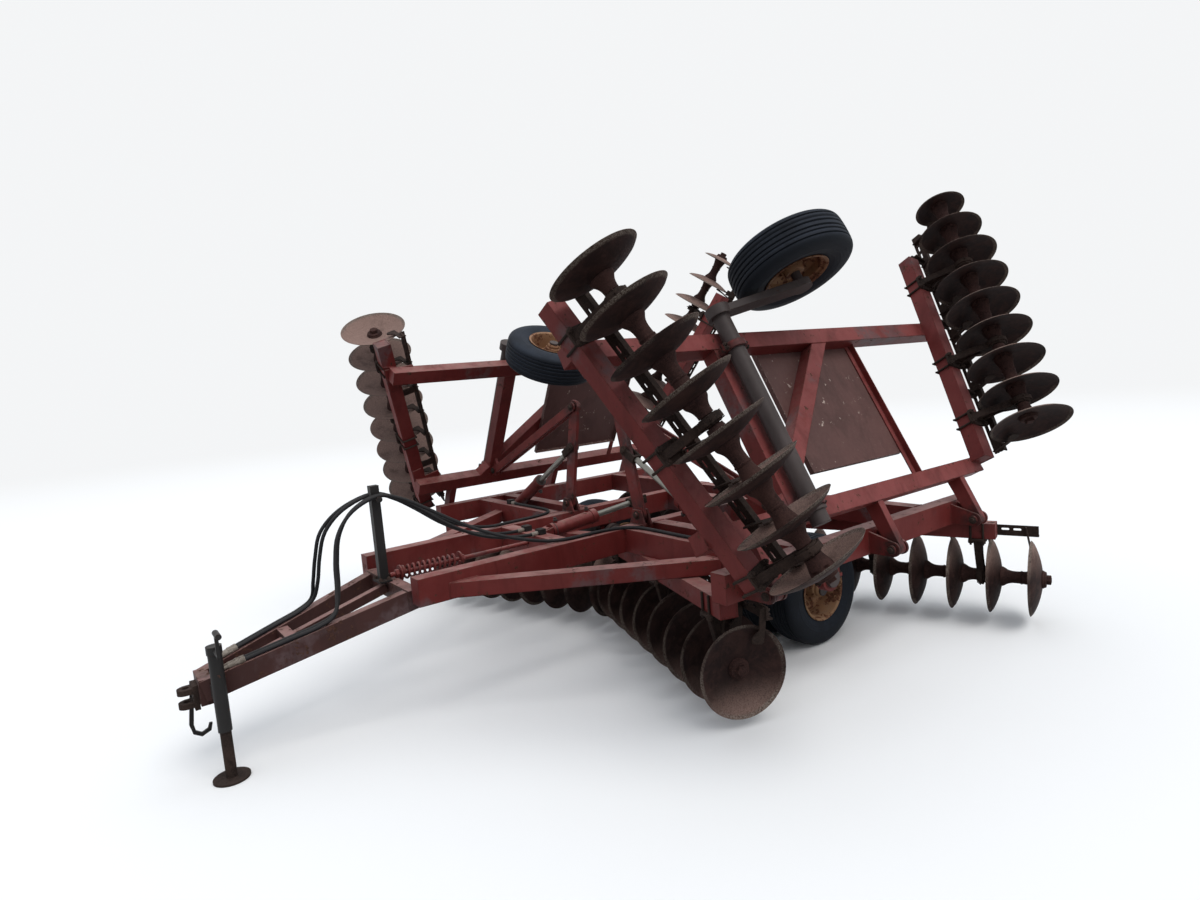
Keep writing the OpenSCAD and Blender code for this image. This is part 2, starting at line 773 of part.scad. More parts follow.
module rockshaft() {
    color(dark) placed() {
        cyl_x([-rail_x - 45, shaft_y, shaft_z], bore_shaft, 2 * rail_x + 90);
        for (s = [-1, 1]) arm(s * arm_x, shaft_y, arm_len, arm_drop, [-1, 1]);
        plate_yz(-12, 24, [[shaft_y - 42, shaft_z + 10], [shaft_y + 48, shaft_z + 10],
            crank_yz + [34, -8], crank_yz + [30, 18], crank_yz + [12, 32],
            crank_yz + [-14, 32], crank_yz + [-32, 16], crank_yz + [-34, -10]]);
        for (x = [-340, 300]) cyl_x([x, shaft_y, shaft_z], 66, 40);
    }
}

// Wheels

rim_r = rim_dia / 2;

// Puts the middle of its children at a wheel's place on its arm
module at_wheel(x, y, l, drop) {
    translate([x, y, shaft_z]) rotate([-drop, 0, 0]) translate([0, l, 0]) children();
}

module rim() {
    lie() rotate_extrude() polygon([
        [28 + run_gap, -76], [58, -76], [62, -20], [110, -6], [136, -14],
        [rim_r - 22, -34], [rim_r - 22, -78], [rim_r - 6, -84], [rim_r - 6, -98],
        [rim_r + 12, -104], [rim_r + 12, -98], [rim_r, -92], [rim_r, 92],
        [rim_r + 12, 98], [rim_r + 12, 104], [rim_r - 6, 98], [rim_r - 6, 84],
        [rim_r - 12, 34], [rim_r - 16, -24], [136, -4], [110, 4], [62, -8],
        [56, 64], [28 + run_gap, 64]]);
}

module tyre() {
    h = tyre_dia / 2;
    w = tyre_w / 2;
    lie() rotate_extrude() polygon([
        [rim_r, -90], [rim_r + 10, -96], [rim_r + 50, -w + 3], [rim_r + 84, -w],
        [h - 40, -w + 7], [h - 13, -w + 24], [h - 4, -w + 35], [h - 4, -62],
        [h - 14, -59], [h - 14, -49], [h - 2, -46], [h - 2, -27], [h - 13, -24],
        [h - 13, -14], [h, -11], [h, 11], [h - 13, 14], [h - 13, 24], [h - 2, 27],
        [h - 2, 46], [h - 14, 49], [h - 14, 59], [h - 4, 62], [h - 4, w - 35],
        [h - 13, w - 24], [h - 40, w - 7], [rim_r + 84, w], [rim_r + 50, w - 3],
        [rim_r + 10, 96], [rim_r, 90]]);
}

twin_off = 160;

// Both wheels of a centre arm
module twins() {
    for (s = [-1, 1]) at_wheel(arm_x + s * twin_off, shaft_y, arm_len, arm_drop) children();
}

module left_rims() {
    color(cream) placed() twins() rim();
}

module left_tyres() {
    color(rubber) placed() twins() tyre();
}

module right_rims() {
    right() left_rims();
}

module right_tyres() {
    right() left_tyres();
}

// The wheel of a wing whose arm hangs by the angle drop
module wing_wheel(drop) {
    placed() folded() at_wheel(wing_arm_x + twin_off, wing_shaft_y, wing_arm_len, drop)
        children();
}

module left_wing_rim() {
    color(cream) wing_wheel(wing_drop) rim();
}

module left_wing_tyre() {
    color(rubber) wing_wheel(wing_drop) tyre();
}

module right_wing_rim() {
    color(cream) right() wing_wheel(loose_drop) rim();
}

module right_wing_tyre() {
    color(rubber) right() wing_wheel(loose_drop) tyre();
}

module wing_shaft(drop) {
    placed() folded() {
        cyl_x([hinge_x + 230, wing_shaft_y, shaft_z], bore_shaft, wing_arm_x - hinge_x - 200);
        arm(wing_arm_x, wing_shaft_y, wing_arm_len, drop, [1]);
        cyl_x([hinge_x + 300, wing_shaft_y, shaft_z], 62, 16);
    }
}

module left_wing_shaft() {
    color(dark) wing_shaft(wing_drop);
}

module right_wing_shaft() {
    color(dark) right() wing_shaft(loose_drop);
}

// Wings

module left_wing() {
    color(red) placed() folded() difference() {
        union() {
            translate([wing_in_x - 50, -1440, frame_low]) cube([tube_w, 2540, tube_w]);
            translate([wing_out_x - 50, -1745, frame_low]) cube([tube_w, 3345, tube_w]);
            translate([wing_in_x, lever_y - 50, frame_low])
                cube([wing_out_x - wing_in_x, tube_w, tube_w]);
            translate([wing_in_x, 488, hinge_z + tube_w / 2 - 8])
                cube([wing_out_x - wing_in_x, 44, 8]);
            translate([wing_in_x, 524, hinge_z + tube_w / 2 - 44])
                cube([wing_out_x - wing_in_x, 8, 44]);
            plan_bar([wing_in_x, -866], [wing_out_x, 165], 100, frame_low + 4, tube_w - 4);
            at_front(front_x1) beam(-40, wing_front_blades * blade_pitch - 240, beam_front);
            at_rear(rear_x1) beam(250, wing_rear_blades * blade_pitch - 120, beam_rear);
            for (y = hinge_ys) {
                plate_xz(y - bush_w / 2, bush_w, [[hinge_x, hinge_z - 38],
                    [wing_in_x - 40, hinge_z - 45], [wing_in_x - 40, hinge_z + 45],
                    [hinge_x, hinge_z + 38]]);
                cyl_y([hinge_x, y - bush_w / 2, hinge_z], 38, bush_w);
            }
            for (x = [hinge_x + 345, wing_out_x - 80]) {
                translate([x - 20, wing_shaft_y - 66, shaft_z]) cube([40, 132, frame_low - shaft_z + 1]);
                cyl_x([x - 20, wing_shaft_y, shaft_z], 66, 40);
                translate([x - 20, wing_shaft_y - 92, shaft_z - 9]) cube([40, 184, 18]);
            }
            for (c = [[wing_in_x, 1], [wing_out_x, -1]]) corner_plate(c[0], c[1]);
            plate_xz(lever_y - 12, 24, [[hinge_x + lug_s - 90, frame_low + tube_w - 1],
                [hinge_x + lug_s + 90, frame_low + tube_w - 1],
                [hinge_x + lug_s + 35, hinge_z + lug_n + 34],
                [hinge_x + lug_s - 35, hinge_z + lug_n + 34]]);
        }
        for (y = hinge_ys) cyl_y([hinge_x, y - 60, hinge_z], hinge_pin + run_gap, 120);
        cyl_x([hinge_x + 200, wing_shaft_y, shaft_z], bore_shaft + run_gap, 1600);
        cyl_y([hinge_x + lug_s, lever_y - 60, hinge_z + lug_n], 16 + run_gap, 120);
    }
}

// Flat plate over the crossing of a wing tube and the front gang beam
module corner_plate(x, s) {
    y = -half_base + (front_x1 - x) * tan(gang_angle) - beam_front / cos(gang_angle);
    translate([x, y, frame_low]) rotate([0, 0, -gang_angle]) linear_extrude(9)
        polygon([[s * -46, -46], [s * 150, -46], [s * 150, 30], [s * 60, 46],
            [s * 58, 170], [s * -10, 170]]);
}

module right_wing() {
    right() left_wing();
}

module left_wing_hangers() {
    color(dark) placed() folded() {
        at_front(front_x1) hangers(front_bearings, 1, beam_front, [0]);
        at_rear(rear_x1) hangers(wing_rear_bearings, -1, beam_rear);
    }
}

module right_wing_hangers() {
    right() left_wing_hangers();
}

module left_wing_scrapers() {
    color(dark) placed() folded() {
        at_front(front_x1) scrapers(wing_front_blades, 1, beam_front, blade_dia, blade_dia,
            front_posts);
        at_rear(rear_x1) scrapers(wing_rear_blades, -1, beam_rear, end_blade_dia,
            next_blade_dia, wing_rear_posts);
    }
}

module right_wing_scrapers() {
    right() left_wing_scrapers();
}

module left_plate() {
    color(rust) placed() folded() translate([hinge_x + 542, -376, hinge_z + tube_w / 2])
        difference() {
            cube([830, 886, 32]);
            translate([5, 5, 5]) cube([820, 876, 40]);
        }
}

module right_plate() {
    right() left_plate();
}

// Fold linkage

lever_dir = [-sin(lever_lean), 0, cos(lever_lean)];
lever_foot = [lever_x, lever_y, lever_z];
lever_top = lever_foot + lever_len * lever_dir;
lever_pin = lever_foot + lever_mid * lever_dir;
lug_at = [hinge_x + lug_s * cos(fold) - lug_n * sin(fold), lever_y,
    hinge_z + lug_s * sin(fold) + lug_n * cos(fold)];
cyl_at = [cyl_x, lever_y, cyl_z];

// Puts +x of its children along the line from p to q, which lies across y
module along_xz(p, q) {
    translate(p) rotate([0, -atan2(q[2] - p[2], q[0] - p[0]), 0]) children();
}

module left_lever() {
    color(red) placed() along_xz(lever_foot, lever_top) difference() {
        union() {
            plate_xz(-12, 24, [[0, -50], [lever_len + 14, -50], [lever_len + 48, -24],
                [lever_len + 48, 24], [lever_len + 14, 50], [0, 50]]);
            cyl_y([0, -12, 0], 50, 24);
        }
        cyl_y([0, -20, 0], 18 + run_gap, 40);
        cyl_y([lever_len, -20, 0], 17, 40);
        cyl_y([lever_mid, -20, 0], 19, 40);
    }
}

module right_lever() {
    right() left_lever();
}

module left_link() {
    l = norm(lever_top - lug_at);
    color(dark) placed() along_xz(lug_at, lever_top) {
        for (s = [-1, 1]) {
            difference() {
                union() {
                    translate([0, s * 26 - 6, -30]) cube([l, 12, 60]);
                    cyl_y([0, s * 26 - 6, 0], 36, 12);
                    cyl_y([l, s * 26 - 6, 0], 36, 12);
                }
                cyl_y([l, s * 26 - 8, 0], 15, 16);
            }
            cyl_y([l, s > 0 ? 24 : -40, 0], 15, 16);
        }
        cyl_y([0, -42, 0], 16, 84);
    }
}

module right_link() {
    right() left_link();
}

module left_fold_barrel() {
    color(red) placed() along_xz(cyl_at, lever_pin) {
        difference() {
            cyl_y([0, -32, 0], 36, 64);
            cyl_y([0, -40, 0], 20 + run_gap, 80);
        }
        difference() {
            union() {
                cyl_x([32, 0, 0], 45, 530);
                cyl_x([32, 0, 0], 49, 22);
                cyl_x([520, 0, 0], 50, 42);
                for (x = [84, 500]) translate([x, 0, 0]) cylinder(r = 13, h = 62);
            }
            cyl_x([60, 0, 0], 36, 490);
            cyl_x([500, 0, 0], 20 + run_gap, 200);
        }
    }
}

module left_fold_rod() {
    l = norm(lever_pin - cyl_at);
    color(steel) placed() along_xz(cyl_at, lever_pin) {
        cyl_x([530, 0, 0], 20, l - 530 - 105);
        cyl_x([510, 0, 0], 35, 30);
        for (s = [-1, 1]) difference() {
            union() {
                translate([l - 105, s * 26 - 6, -26]) cube([105, 12, 52]);
                cyl_y([l, s * 26 - 6, 0], 32, 12);
            }
            cyl_y([l, s * 26 - 8, 0], 17, 16);
        }
        translate([l - 113, -32, -26]) cube([20, 64, 52]);
    }
}

module right_fold_barrel() {
    right() left_fold_barrel();
}

module right_fold_rod() {
    right() left_fold_rod();
}

frame();
cross_tubes();
front_beams();
rear_beams();
centre_hangers();
centre_scrapers();
tongue();
hitch_clevis();
safety_hook();
jack_tube();
jack_leg();
hose_post();
level_rod();
hose_tips();
hose_blocks();
hose_a();
hose_b();
hose_c();
hose_d();
lift_barrel();
lift_rod();
rockshaft();
left_rims();
left_tyres();
right_rims();
right_tyres();
gang_front_left();
gang_front_right();
gang_rear_left();
gang_rear_right();
left_wing();
right_wing();
left_wing_hangers();
right_wing_hangers();
left_wing_scrapers();
right_wing_scrapers();
left_plate();
right_plate();
wing_gang_front_left();
wing_gang_front_right();
wing_gang_rear_left();
wing_gang_rear_right();
left_wing_shaft();
right_wing_shaft();
left_wing_rim();
left_wing_tyre();
right_wing_rim();
right_wing_tyre();
left_lever();
right_lever();
left_link();
right_link();
left_fold_barrel();
left_fold_rod();
right_fold_barrel();
right_fold_rod();
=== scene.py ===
"""Dresses a wing-fold tandem disc harrow around its CAD parts.

Lengths in the shape functions are millimetres on the machine, with y counted from the
middle between the gangs; place() turns them into metres in the frame of the CAD part.
"""

import math

import bpy
import numpy as np
from bpy.props import FloatProperty, FloatVectorProperty, IntProperty, PointerProperty
from mathutils import Matrix, Vector


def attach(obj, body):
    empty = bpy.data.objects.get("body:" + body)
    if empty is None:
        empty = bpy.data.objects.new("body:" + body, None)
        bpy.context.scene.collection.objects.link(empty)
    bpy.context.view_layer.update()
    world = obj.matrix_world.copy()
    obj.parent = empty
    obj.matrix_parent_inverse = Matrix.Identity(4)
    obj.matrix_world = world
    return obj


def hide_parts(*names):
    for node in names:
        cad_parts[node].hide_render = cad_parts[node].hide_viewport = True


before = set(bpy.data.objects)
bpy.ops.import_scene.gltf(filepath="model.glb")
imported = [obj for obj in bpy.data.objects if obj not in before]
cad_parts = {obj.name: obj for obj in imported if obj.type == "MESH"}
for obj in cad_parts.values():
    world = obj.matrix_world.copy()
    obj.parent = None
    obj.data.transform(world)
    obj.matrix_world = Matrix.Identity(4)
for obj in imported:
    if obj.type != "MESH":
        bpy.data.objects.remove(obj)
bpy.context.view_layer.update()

bl_info = {
    "name": "Disc Harrow",
    "version": (1, 0, 0),
    "blender": (4, 5, 0),
    "location": "3D View > Sidebar > Disc Harrow",
    "description": "Dresses a wing-fold tandem disc harrow around its CAD parts",
    "category": "Add Mesh",
}

# Sizes of the CAD part that the looks are fitted to

# Gangs and their blades
MID_Y = 763.0
GANG_ANGLE = 18.0
PITCH = 228.6
LANE = PITCH * math.cos(math.radians(GANG_ANGLE))
BLADE_SPHERE = 520.0
BLADE_DIA = 480.0
BLADE_T, EDGE_T = 6.0, 1.2
DISH = BLADE_SPHERE - math.sqrt(BLADE_SPHERE**2 - (BLADE_DIA / 2) ** 2)
GANG_Z = 296.0
HINGE_X, HINGE_Z, FOLD = 1816.0, 720.0, 119.0
HALF_BASE = 1740.0
FRONT_X1, REAR_X1 = HINGE_X + 1566, HINGE_X + 2145
# Rockshafts, arms and wheels; the right wing's arm has swung over to LOOSE_DROP
SHAFT_Z, SHAFT_Y, WING_SHAFT_Y = 605.0, -450.0, -720.0
TYRE_R, RIM_R = 350.0, 179.0
ARM_LEN, WING_ARM_LEN = 500.0, 515.0
ARM_X, WING_ARM_X, TWIN_OFF = 1000.0, 3325.0, 160.0
LOOSE_DROP = -82.0
# Tubes of the frame and the wings, the wing shafts' collars and the wing's brace
FRAME_LOW, TUBE_H, HALF_TUBE = 670.0, 150.0, 50.0
FRAME_TOP = FRAME_LOW + TUBE_H
RAIL_X, INNER_X, HINGE_YS = 1620.0, 400.0, (-1120.0, -80.0, 820.0)
WING_IN_X, WING_OUT_X = HINGE_X + 325, HINGE_X + 1370
COLLAR_XS = (HINGE_X + 345, WING_OUT_X - 80)
BRACE_YS = (-866.0, 165.0)
BEAM_Z, BEAM_FRONT, BEAM_REAR = 620.0, 45.0, 90.0
HOOK_Z, HOSE_R = 1222.0, 10.5
# Fold levers and the cylinders' pins
LEVER_Y, LEVER_LEN, LEVER_MID, LEVER_LEAN = -760.0, 730.0, 430.0, math.radians(12.7)
LEVER_FOOT = np.array([410.0, LEVER_Y, 880.0])
LEVER_DIR = np.array([-math.sin(LEVER_LEAN), 0.0, math.cos(LEVER_LEAN)])
LEVER_TOP, LEVER_PIN = LEVER_FOOT + LEVER_LEN * LEVER_DIR, LEVER_FOOT + LEVER_MID * LEVER_DIR
CYLINDER_AT = np.array([1290.0, LEVER_Y, 735.0])
LIFT_BASE, CRANK_TOP = np.array([0.0, -1235.0, 800.0]), np.array([0.0, -420.0, 885.0])
X_AXIS, Y_AXIS, Z_AXIS = np.eye(3)
# Radius of a hexagon's corners is its width across the flats over this
HEX = 1.732


# Placing


def shift(x, y, z):
    """Matrix that moves by x, y, z."""
    m = np.eye(4)
    m[:3, 3] = (x, y, z)
    return m


def turn(axis, degrees):
    """Matrix that turns about the x, y or z axis, right-handed."""
    a = math.radians(degrees)
    i, j = {"x": (1, 2), "y": (2, 0), "z": (0, 1)}[axis]
    m = np.eye(4)
    m[i, i] = m[j, j] = math.cos(a)
    m[i, j], m[j, i] = -math.sin(a), math.sin(a)
    return m


FOLDED = shift(HINGE_X, 0, HINGE_Z) @ turn("y", -FOLD) @ shift(-HINGE_X, 0, -HINGE_Z)
MIRROR = np.diag([-1.0, 1, 1, 1])


def at_front(x1):
    """Place of a front gang whose outer blade's rim is at x1."""
    lead = (FRONT_X1 - x1) * math.tan(math.radians(GANG_ANGLE))
    return shift(x1, -HALF_BASE + lead, GANG_Z) @ turn("z", -GANG_ANGLE)


def at_rear(x1):
    """Place of a rear gang whose outer blade's rim is at x1."""
    lead = (REAR_X1 - x1) * math.tan(math.radians(GANG_ANGLE))
    return shift(x1, HALF_BASE - lead, GANG_Z) @ turn("z", GANG_ANGLE)


CENTRE_FRONT = at_front(FRONT_X1 - 8 * LANE)
CENTRE_REAR = at_rear(REAR_X1 - 9 * LANE)
WING_FRONT = FOLDED @ at_front(FRONT_X1)
WING_REAR = FOLDED @ at_rear(REAR_X1)
LUG_AT = (FOLDED @ (HINGE_X + 440, LEVER_Y, HINGE_Z + 98, 1))[:3]
SIDES = (("left", np.eye(4)), ("right", MIRROR))


# Shapes


class Shape:
    """Points in millimetres with faces of four and of three corners."""

    def __init__(self, points, quads=(), tris=()):
        self.points = np.asarray(points, float).reshape(-1, 3)
        self.quads = np.asarray(quads, int).reshape(-1, 4)
        self.tris = np.asarray(tris, int).reshape(-1, 3)

    def moved(self, m):
        """The shape under a 4x4 matrix, turned outside out again after a mirror."""
        p = self.points @ m[:3, :3].T + m[:3, 3]
        step = -1 if np.linalg.det(m[:3, :3]) < 0 else 1
        return Shape(p, self.quads[:, ::step], self.tris[:, ::step])

    def outward(self):
        """The closed shape with its faces pointing outwards, by the sign of its volume."""
        q, t, p = self.quads, self.tris, self.points
        t = np.concatenate([t, q[:, [0, 1, 2]], q[:, [0, 2, 3]]])
        volume = np.einsum("ij,ij->i", p[t[:, 0]], np.cross(p[t[:, 1]], p[t[:, 2]])).sum()
        return self if volume >= 0 else Shape(p, q[:, ::-1], self.tris[:, ::-1])


def joined(shapes):
    """All shapes as one, each keeping its own points."""
    shapes = list(shapes)
    starts = np.cumsum([0] + [len(s.points) for s in shapes])
    return Shape(
        np.concatenate([s.points for s in shapes]),
        np.concatenate([s.quads + n for s, n in zip(shapes, starts)]),
        np.concatenate([s.tris + n for s, n in zip(shapes, starts)]),
    )


def grid_quads(rows, steps, closed=False):
    """Faces of rings of points, row after row; closed joins the last row to the first."""
    i = np.arange(rows if closed else rows - 1)[:, None]
    j = np.arange(steps)[None, :]
    i2, j2 = (i + 1) % rows, (j + 1) % steps
    corners = (i * steps + j, i * steps + j2, i2 * steps + j2, i2 * steps + j)
    return np.stack(np.broadcast_arrays(*corners), -1).reshape(-1, 4)


def capped(rings, tips):
    """Closed surface of rings of points, with a fan to a tip at each end."""
    rows, steps = rings.shape[:2]
    n, j = rows * steps, np.arange(steps)
    j2, last = (j + 1) % steps, n - steps
    fans = [np.stack([np.full(steps, n), j2, j], -1),
            np.stack([np.full(steps, n + 1), last + j, last + j2], -1)]
    points = np.concatenate([rings.reshape(-1, 3), tips])
    return Shape(points, grid_quads(rows, steps), np.concatenate(fans)).outward()


def lathe(profile, steps=48):
    """Surface of revolution round x: (t, r) goes to (t, r cos a, r sin a).

    A profile that starts and ends at r = 0 is closed by fans, any other by its own ring.
    """
    p = np.asarray(profile, float)
    a = np.linspace(0, 2 * np.pi, steps, endpoint=False)
    polar = p[0, 1] == 0 and p[-1, 1] == 0
    inner = p[1:-1] if polar else p
    t, r = inner[:, 0:1], inner[:, 1:2]
    rings = np.stack(np.broadcast_arrays(t + 0 * a, r * np.cos(a), r * np.sin(a)), -1)
    if polar:
        return capped(rings, [(p[0, 0], 0, 0), (p[-1, 0], 0, 0)])
    return Shape(rings, grid_quads(len(inner), steps, closed=True)).outward()


def stub(start, end, radius, bevel, tip, steps):
    """Plain end of a bolt or nut along x, bevelled to the radius tip at its far end."""
    return lathe([(start, 0), (start, radius), (end - bevel, radius), (end, tip), (end, 0)], steps)


def smooth_path(points, steps):
    """Catmull-Rom curve: each stretch is a cubic through its two points, with slopes
    along the chord of their neighbours."""
    p = np.asarray(points, float)
    q = np.concatenate([p[:1], p, p[-1:]])
    t = (np.arange(steps) / steps)[None, :, None]
    a, b, c, d = (q[k : k + len(p) - 1, None] for k in range(4))
    curve = 0.5 * (2 * b + (c - a) * t + (2 * a - 5 * b + 4 * c - d) * t**2 + (3 * b - a - 3 * c + d) * t**3)
    return np.concatenate([curve.reshape(-1, p.shape[1]), p[-1:]])


def sweep(path, section, scale=None):
    """A closed section carried along a path, square to it, with flat ends.

    section is (u, v) pairs; the frames are turned from one point to the next by the
    smallest angle; scale, one number a point, swells the section.
    """
    path = np.asarray(path, float)
    section = np.asarray(section, float)
    tangent = np.gradient(path, axis=0)
    tangent /= np.linalg.norm(tangent, axis=1)[:, None]
    start = np.cross(tangent[0], (0, 0, 1) if abs(tangent[0][2]) < 0.9 else (0, 1, 0))
    u = np.empty_like(path)
    u[0] = start / np.linalg.norm(start)
    for k in range(1, len(path)):
        w = u[k - 1] - tangent[k] * (u[k - 1] @ tangent[k])
        u[k] = w / np.linalg.norm(w)
    v = np.cross(tangent, u)
    size = np.ones(len(path)) if scale is None else np.asarray(scale, float)
    s = section[None] * size[:, None, None]
    rings = path[:, None] + s[..., 0:1] * u[:, None] + s[..., 1:2] * v[:, None]
    return capped(rings, path[[0, -1]])


def ring(radius, sides):
    """Points of a circle as (u, v) pairs."""
    a = np.linspace(0, 2 * np.pi, sides, endpoint=False)
    return np.stack([radius * np.cos(a), radius * np.sin(a)], -1)


def tube(points, radius, sides=12, steps=1):
    """Round rod or hose through the points."""
    return sweep(smooth_path(points, steps) if steps > 1 else points, ring(radius, sides))


def along(p, axis):
    """Matrix that lays +x of a shape along an axis from the point p."""
    x = np.asarray(axis, float)
    x = x / np.linalg.norm(x)
    y = np.cross((0, 0, 1) if abs(x[2]) < 0.9 else (0, 1, 0), x)
    y /= np.linalg.norm(y)
    m = np.eye(4)
    m[:3, 0], m[:3, 1], m[:3, 2], m[:3, 3] = x, y, np.cross(x, y), p
    return m


def bolt(p, axis, across=24.0, washer=True, shank=0.0):
    """Six-sided head with rounded corners on a washer, pointing along axis from p."""
    r, h = across / HEX, across * 0.62
    parts = [stub(2, h, r, 2.5, r * 0.86, 6)]
    if washer:
        parts.append(lathe([(0, 0), (0, r * 1.32), (3, r * 1.32), (3, 0)], 20))
    if shank:
        s = across * 0.3
        parts.append(stub(h - 1, h + shank, s, 2, s * 0.8, 14))
    return joined(parts).moved(along(p, axis))


def bead(p, q, radius=5.0, pitch=9.0):
    """Weld bead from p to q: a tube whose radius ripples once a pitch."""
    p, q = np.asarray(p, float), np.asarray(q, float)
    n = max(4, int(np.linalg.norm(q - p) / pitch) * 2 + 1)
    t = np.linspace(0, 1, n)[:, None]
    ripple = 1 + 0.12 * np.cos(np.pi * np.arange(n))
    ripple[0] = ripple[-1] = 0.6
    return sweep(p + (q - p) * t, ring(radius, 8), ripple)


def bead_across(x, y, z, reach):
    """Thin weld bead along y, reach to both sides of the point."""
    return bead((x, y - reach, z), (x, y + reach, z), 4)


def hex_nut(p, axis, across, height):
    """Chamfered six-sided nut from p along axis."""
    r = across / HEX
    line = [(0, 0), (0, r * 0.88), (1.6, r), (height - 1.6, r), (height, r * 0.88), (height, 0)]
    return lathe(line, 6).moved(along(p, axis))


def pin_ends(p, axis, gap, r, reach=12.0):
    """Both ends of a pin through p, gap away from it: washer, rounded end and split pin."""
    washer = lathe([(0, 0), (0, r * 1.6), (3.5, r * 1.6), (3.5, 0)], 28)
    split = tube([(8, -r * 1.5, 0), (8, r * 1.4, 0)], 2.2, 8)
    end = joined([washer, stub(3, reach, r, 3, r * 0.8, 24), split])
    return [end.moved(along(p + d * gap * axis, d * axis)) for d in (-1, 1)]


# Putting pieces into Blender


def place(name, shape, body, material, slot, angle=35.0, replaces=()):
    """Puts a shape into a mesh, in metres in the CAD part's frame, on a body."""
    points = (shape.points + (0, MID_Y, 0)) / 1000
    mesh = bpy.data.meshes.new(name)
    nq, nt = len(shape.quads), len(shape.tris)
    corners = np.concatenate([shape.quads.ravel(), shape.tris.ravel()])
    starts = np.concatenate([np.arange(nq) * 4, nq * 4 + np.arange(nt) * 3])
    mesh.vertices.add(len(points))
    mesh.vertices.foreach_set("co", points.astype(np.float32).ravel())
    mesh.loops.add(len(corners))
    mesh.loops.foreach_set("vertex_index", corners.astype(np.int32))
    mesh.polygons.add(nq + nt)
    mesh.polygons.foreach_set("loop_start", starts.astype(np.int32))
    mesh.polygons.foreach_set("use_smooth", np.ones(nq + nt, bool))
    mesh.update(calc_edges=True)
    if mesh.validate():
        raise RuntimeError(f"{name} has faulty faces")
    mesh.set_sharp_from_angle(angle=math.radians(angle))
    mesh.materials.append(material)
    piece = bpy.data.objects.new(name, mesh)
    bpy.context.scene.collection.objects.link(piece)
    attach(piece, body)
    if replaces:
        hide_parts(*replaces)
    return piece


def dress(node, material):
    """Gives a CAD node its material."""
    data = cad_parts[node].data
    data.materials.clear()
    data.materials.append(material)


# Materials


def times(color, share):
    """A colour made lighter or darker."""
    return tuple(c * share for c in color)


class Nodes:
    """A node tree under construction: most methods add a node and return its result."""

    def __init__(self, tree):
        self.tree = tree

    def node(self, kind, **values):
        """A new node with the given settings."""
        made = self.tree.nodes.new(kind)
        for key, value in values.items():
            setattr(made, key, value)
        return made

    def link(self, socket, target):
        """Leads a result into an input."""
        self.tree.links.new(socket, target)

    def sum(self, a, b, operation="ADD"):
        """a and b added, or put together by another operation."""
        n = self.node("ShaderNodeMath", operation=operation, use_clamp=operation != "SUBTRACT")
        for socket, target in zip((a, b), n.inputs):
            self.link(socket, target)
        return n.outputs["Value"]

    def both(self, a, b):
        """a times b, which is 1 where both are."""
        return self.sum(a, b, "MULTIPLY")

    def part(self, vector, axis):
        """One coordinate of a vector."""
        n = self.node("ShaderNodeSeparateXYZ")
        self.link(vector, n.inputs["Vector"])
        return n.outputs[axis]

    def mix(self, fac, a, b):
        """Colour a, turning into colour b as fac goes from 0 to 1."""
        n = self.node("ShaderNodeMix", data_type="RGBA", blend_type="MIX")
        self.link(fac, n.inputs["Factor"])
        for value, target in ((a, n.inputs[6]), (b, n.inputs[7])):
            if isinstance(value, bpy.types.NodeSocket):
                self.link(value, target)
            else:
                target.default_value = (*value, 1)
        return n.outputs[2]

    def blend(self, fac, a, b):
        """Shader a, turning into shader b as fac goes from 0 to 1."""
        n = self.node("ShaderNodeMixShader")
        for socket, target in zip((fac, a, b), n.inputs):
            self.link(socket, target)
        return n.outputs["Shader"]


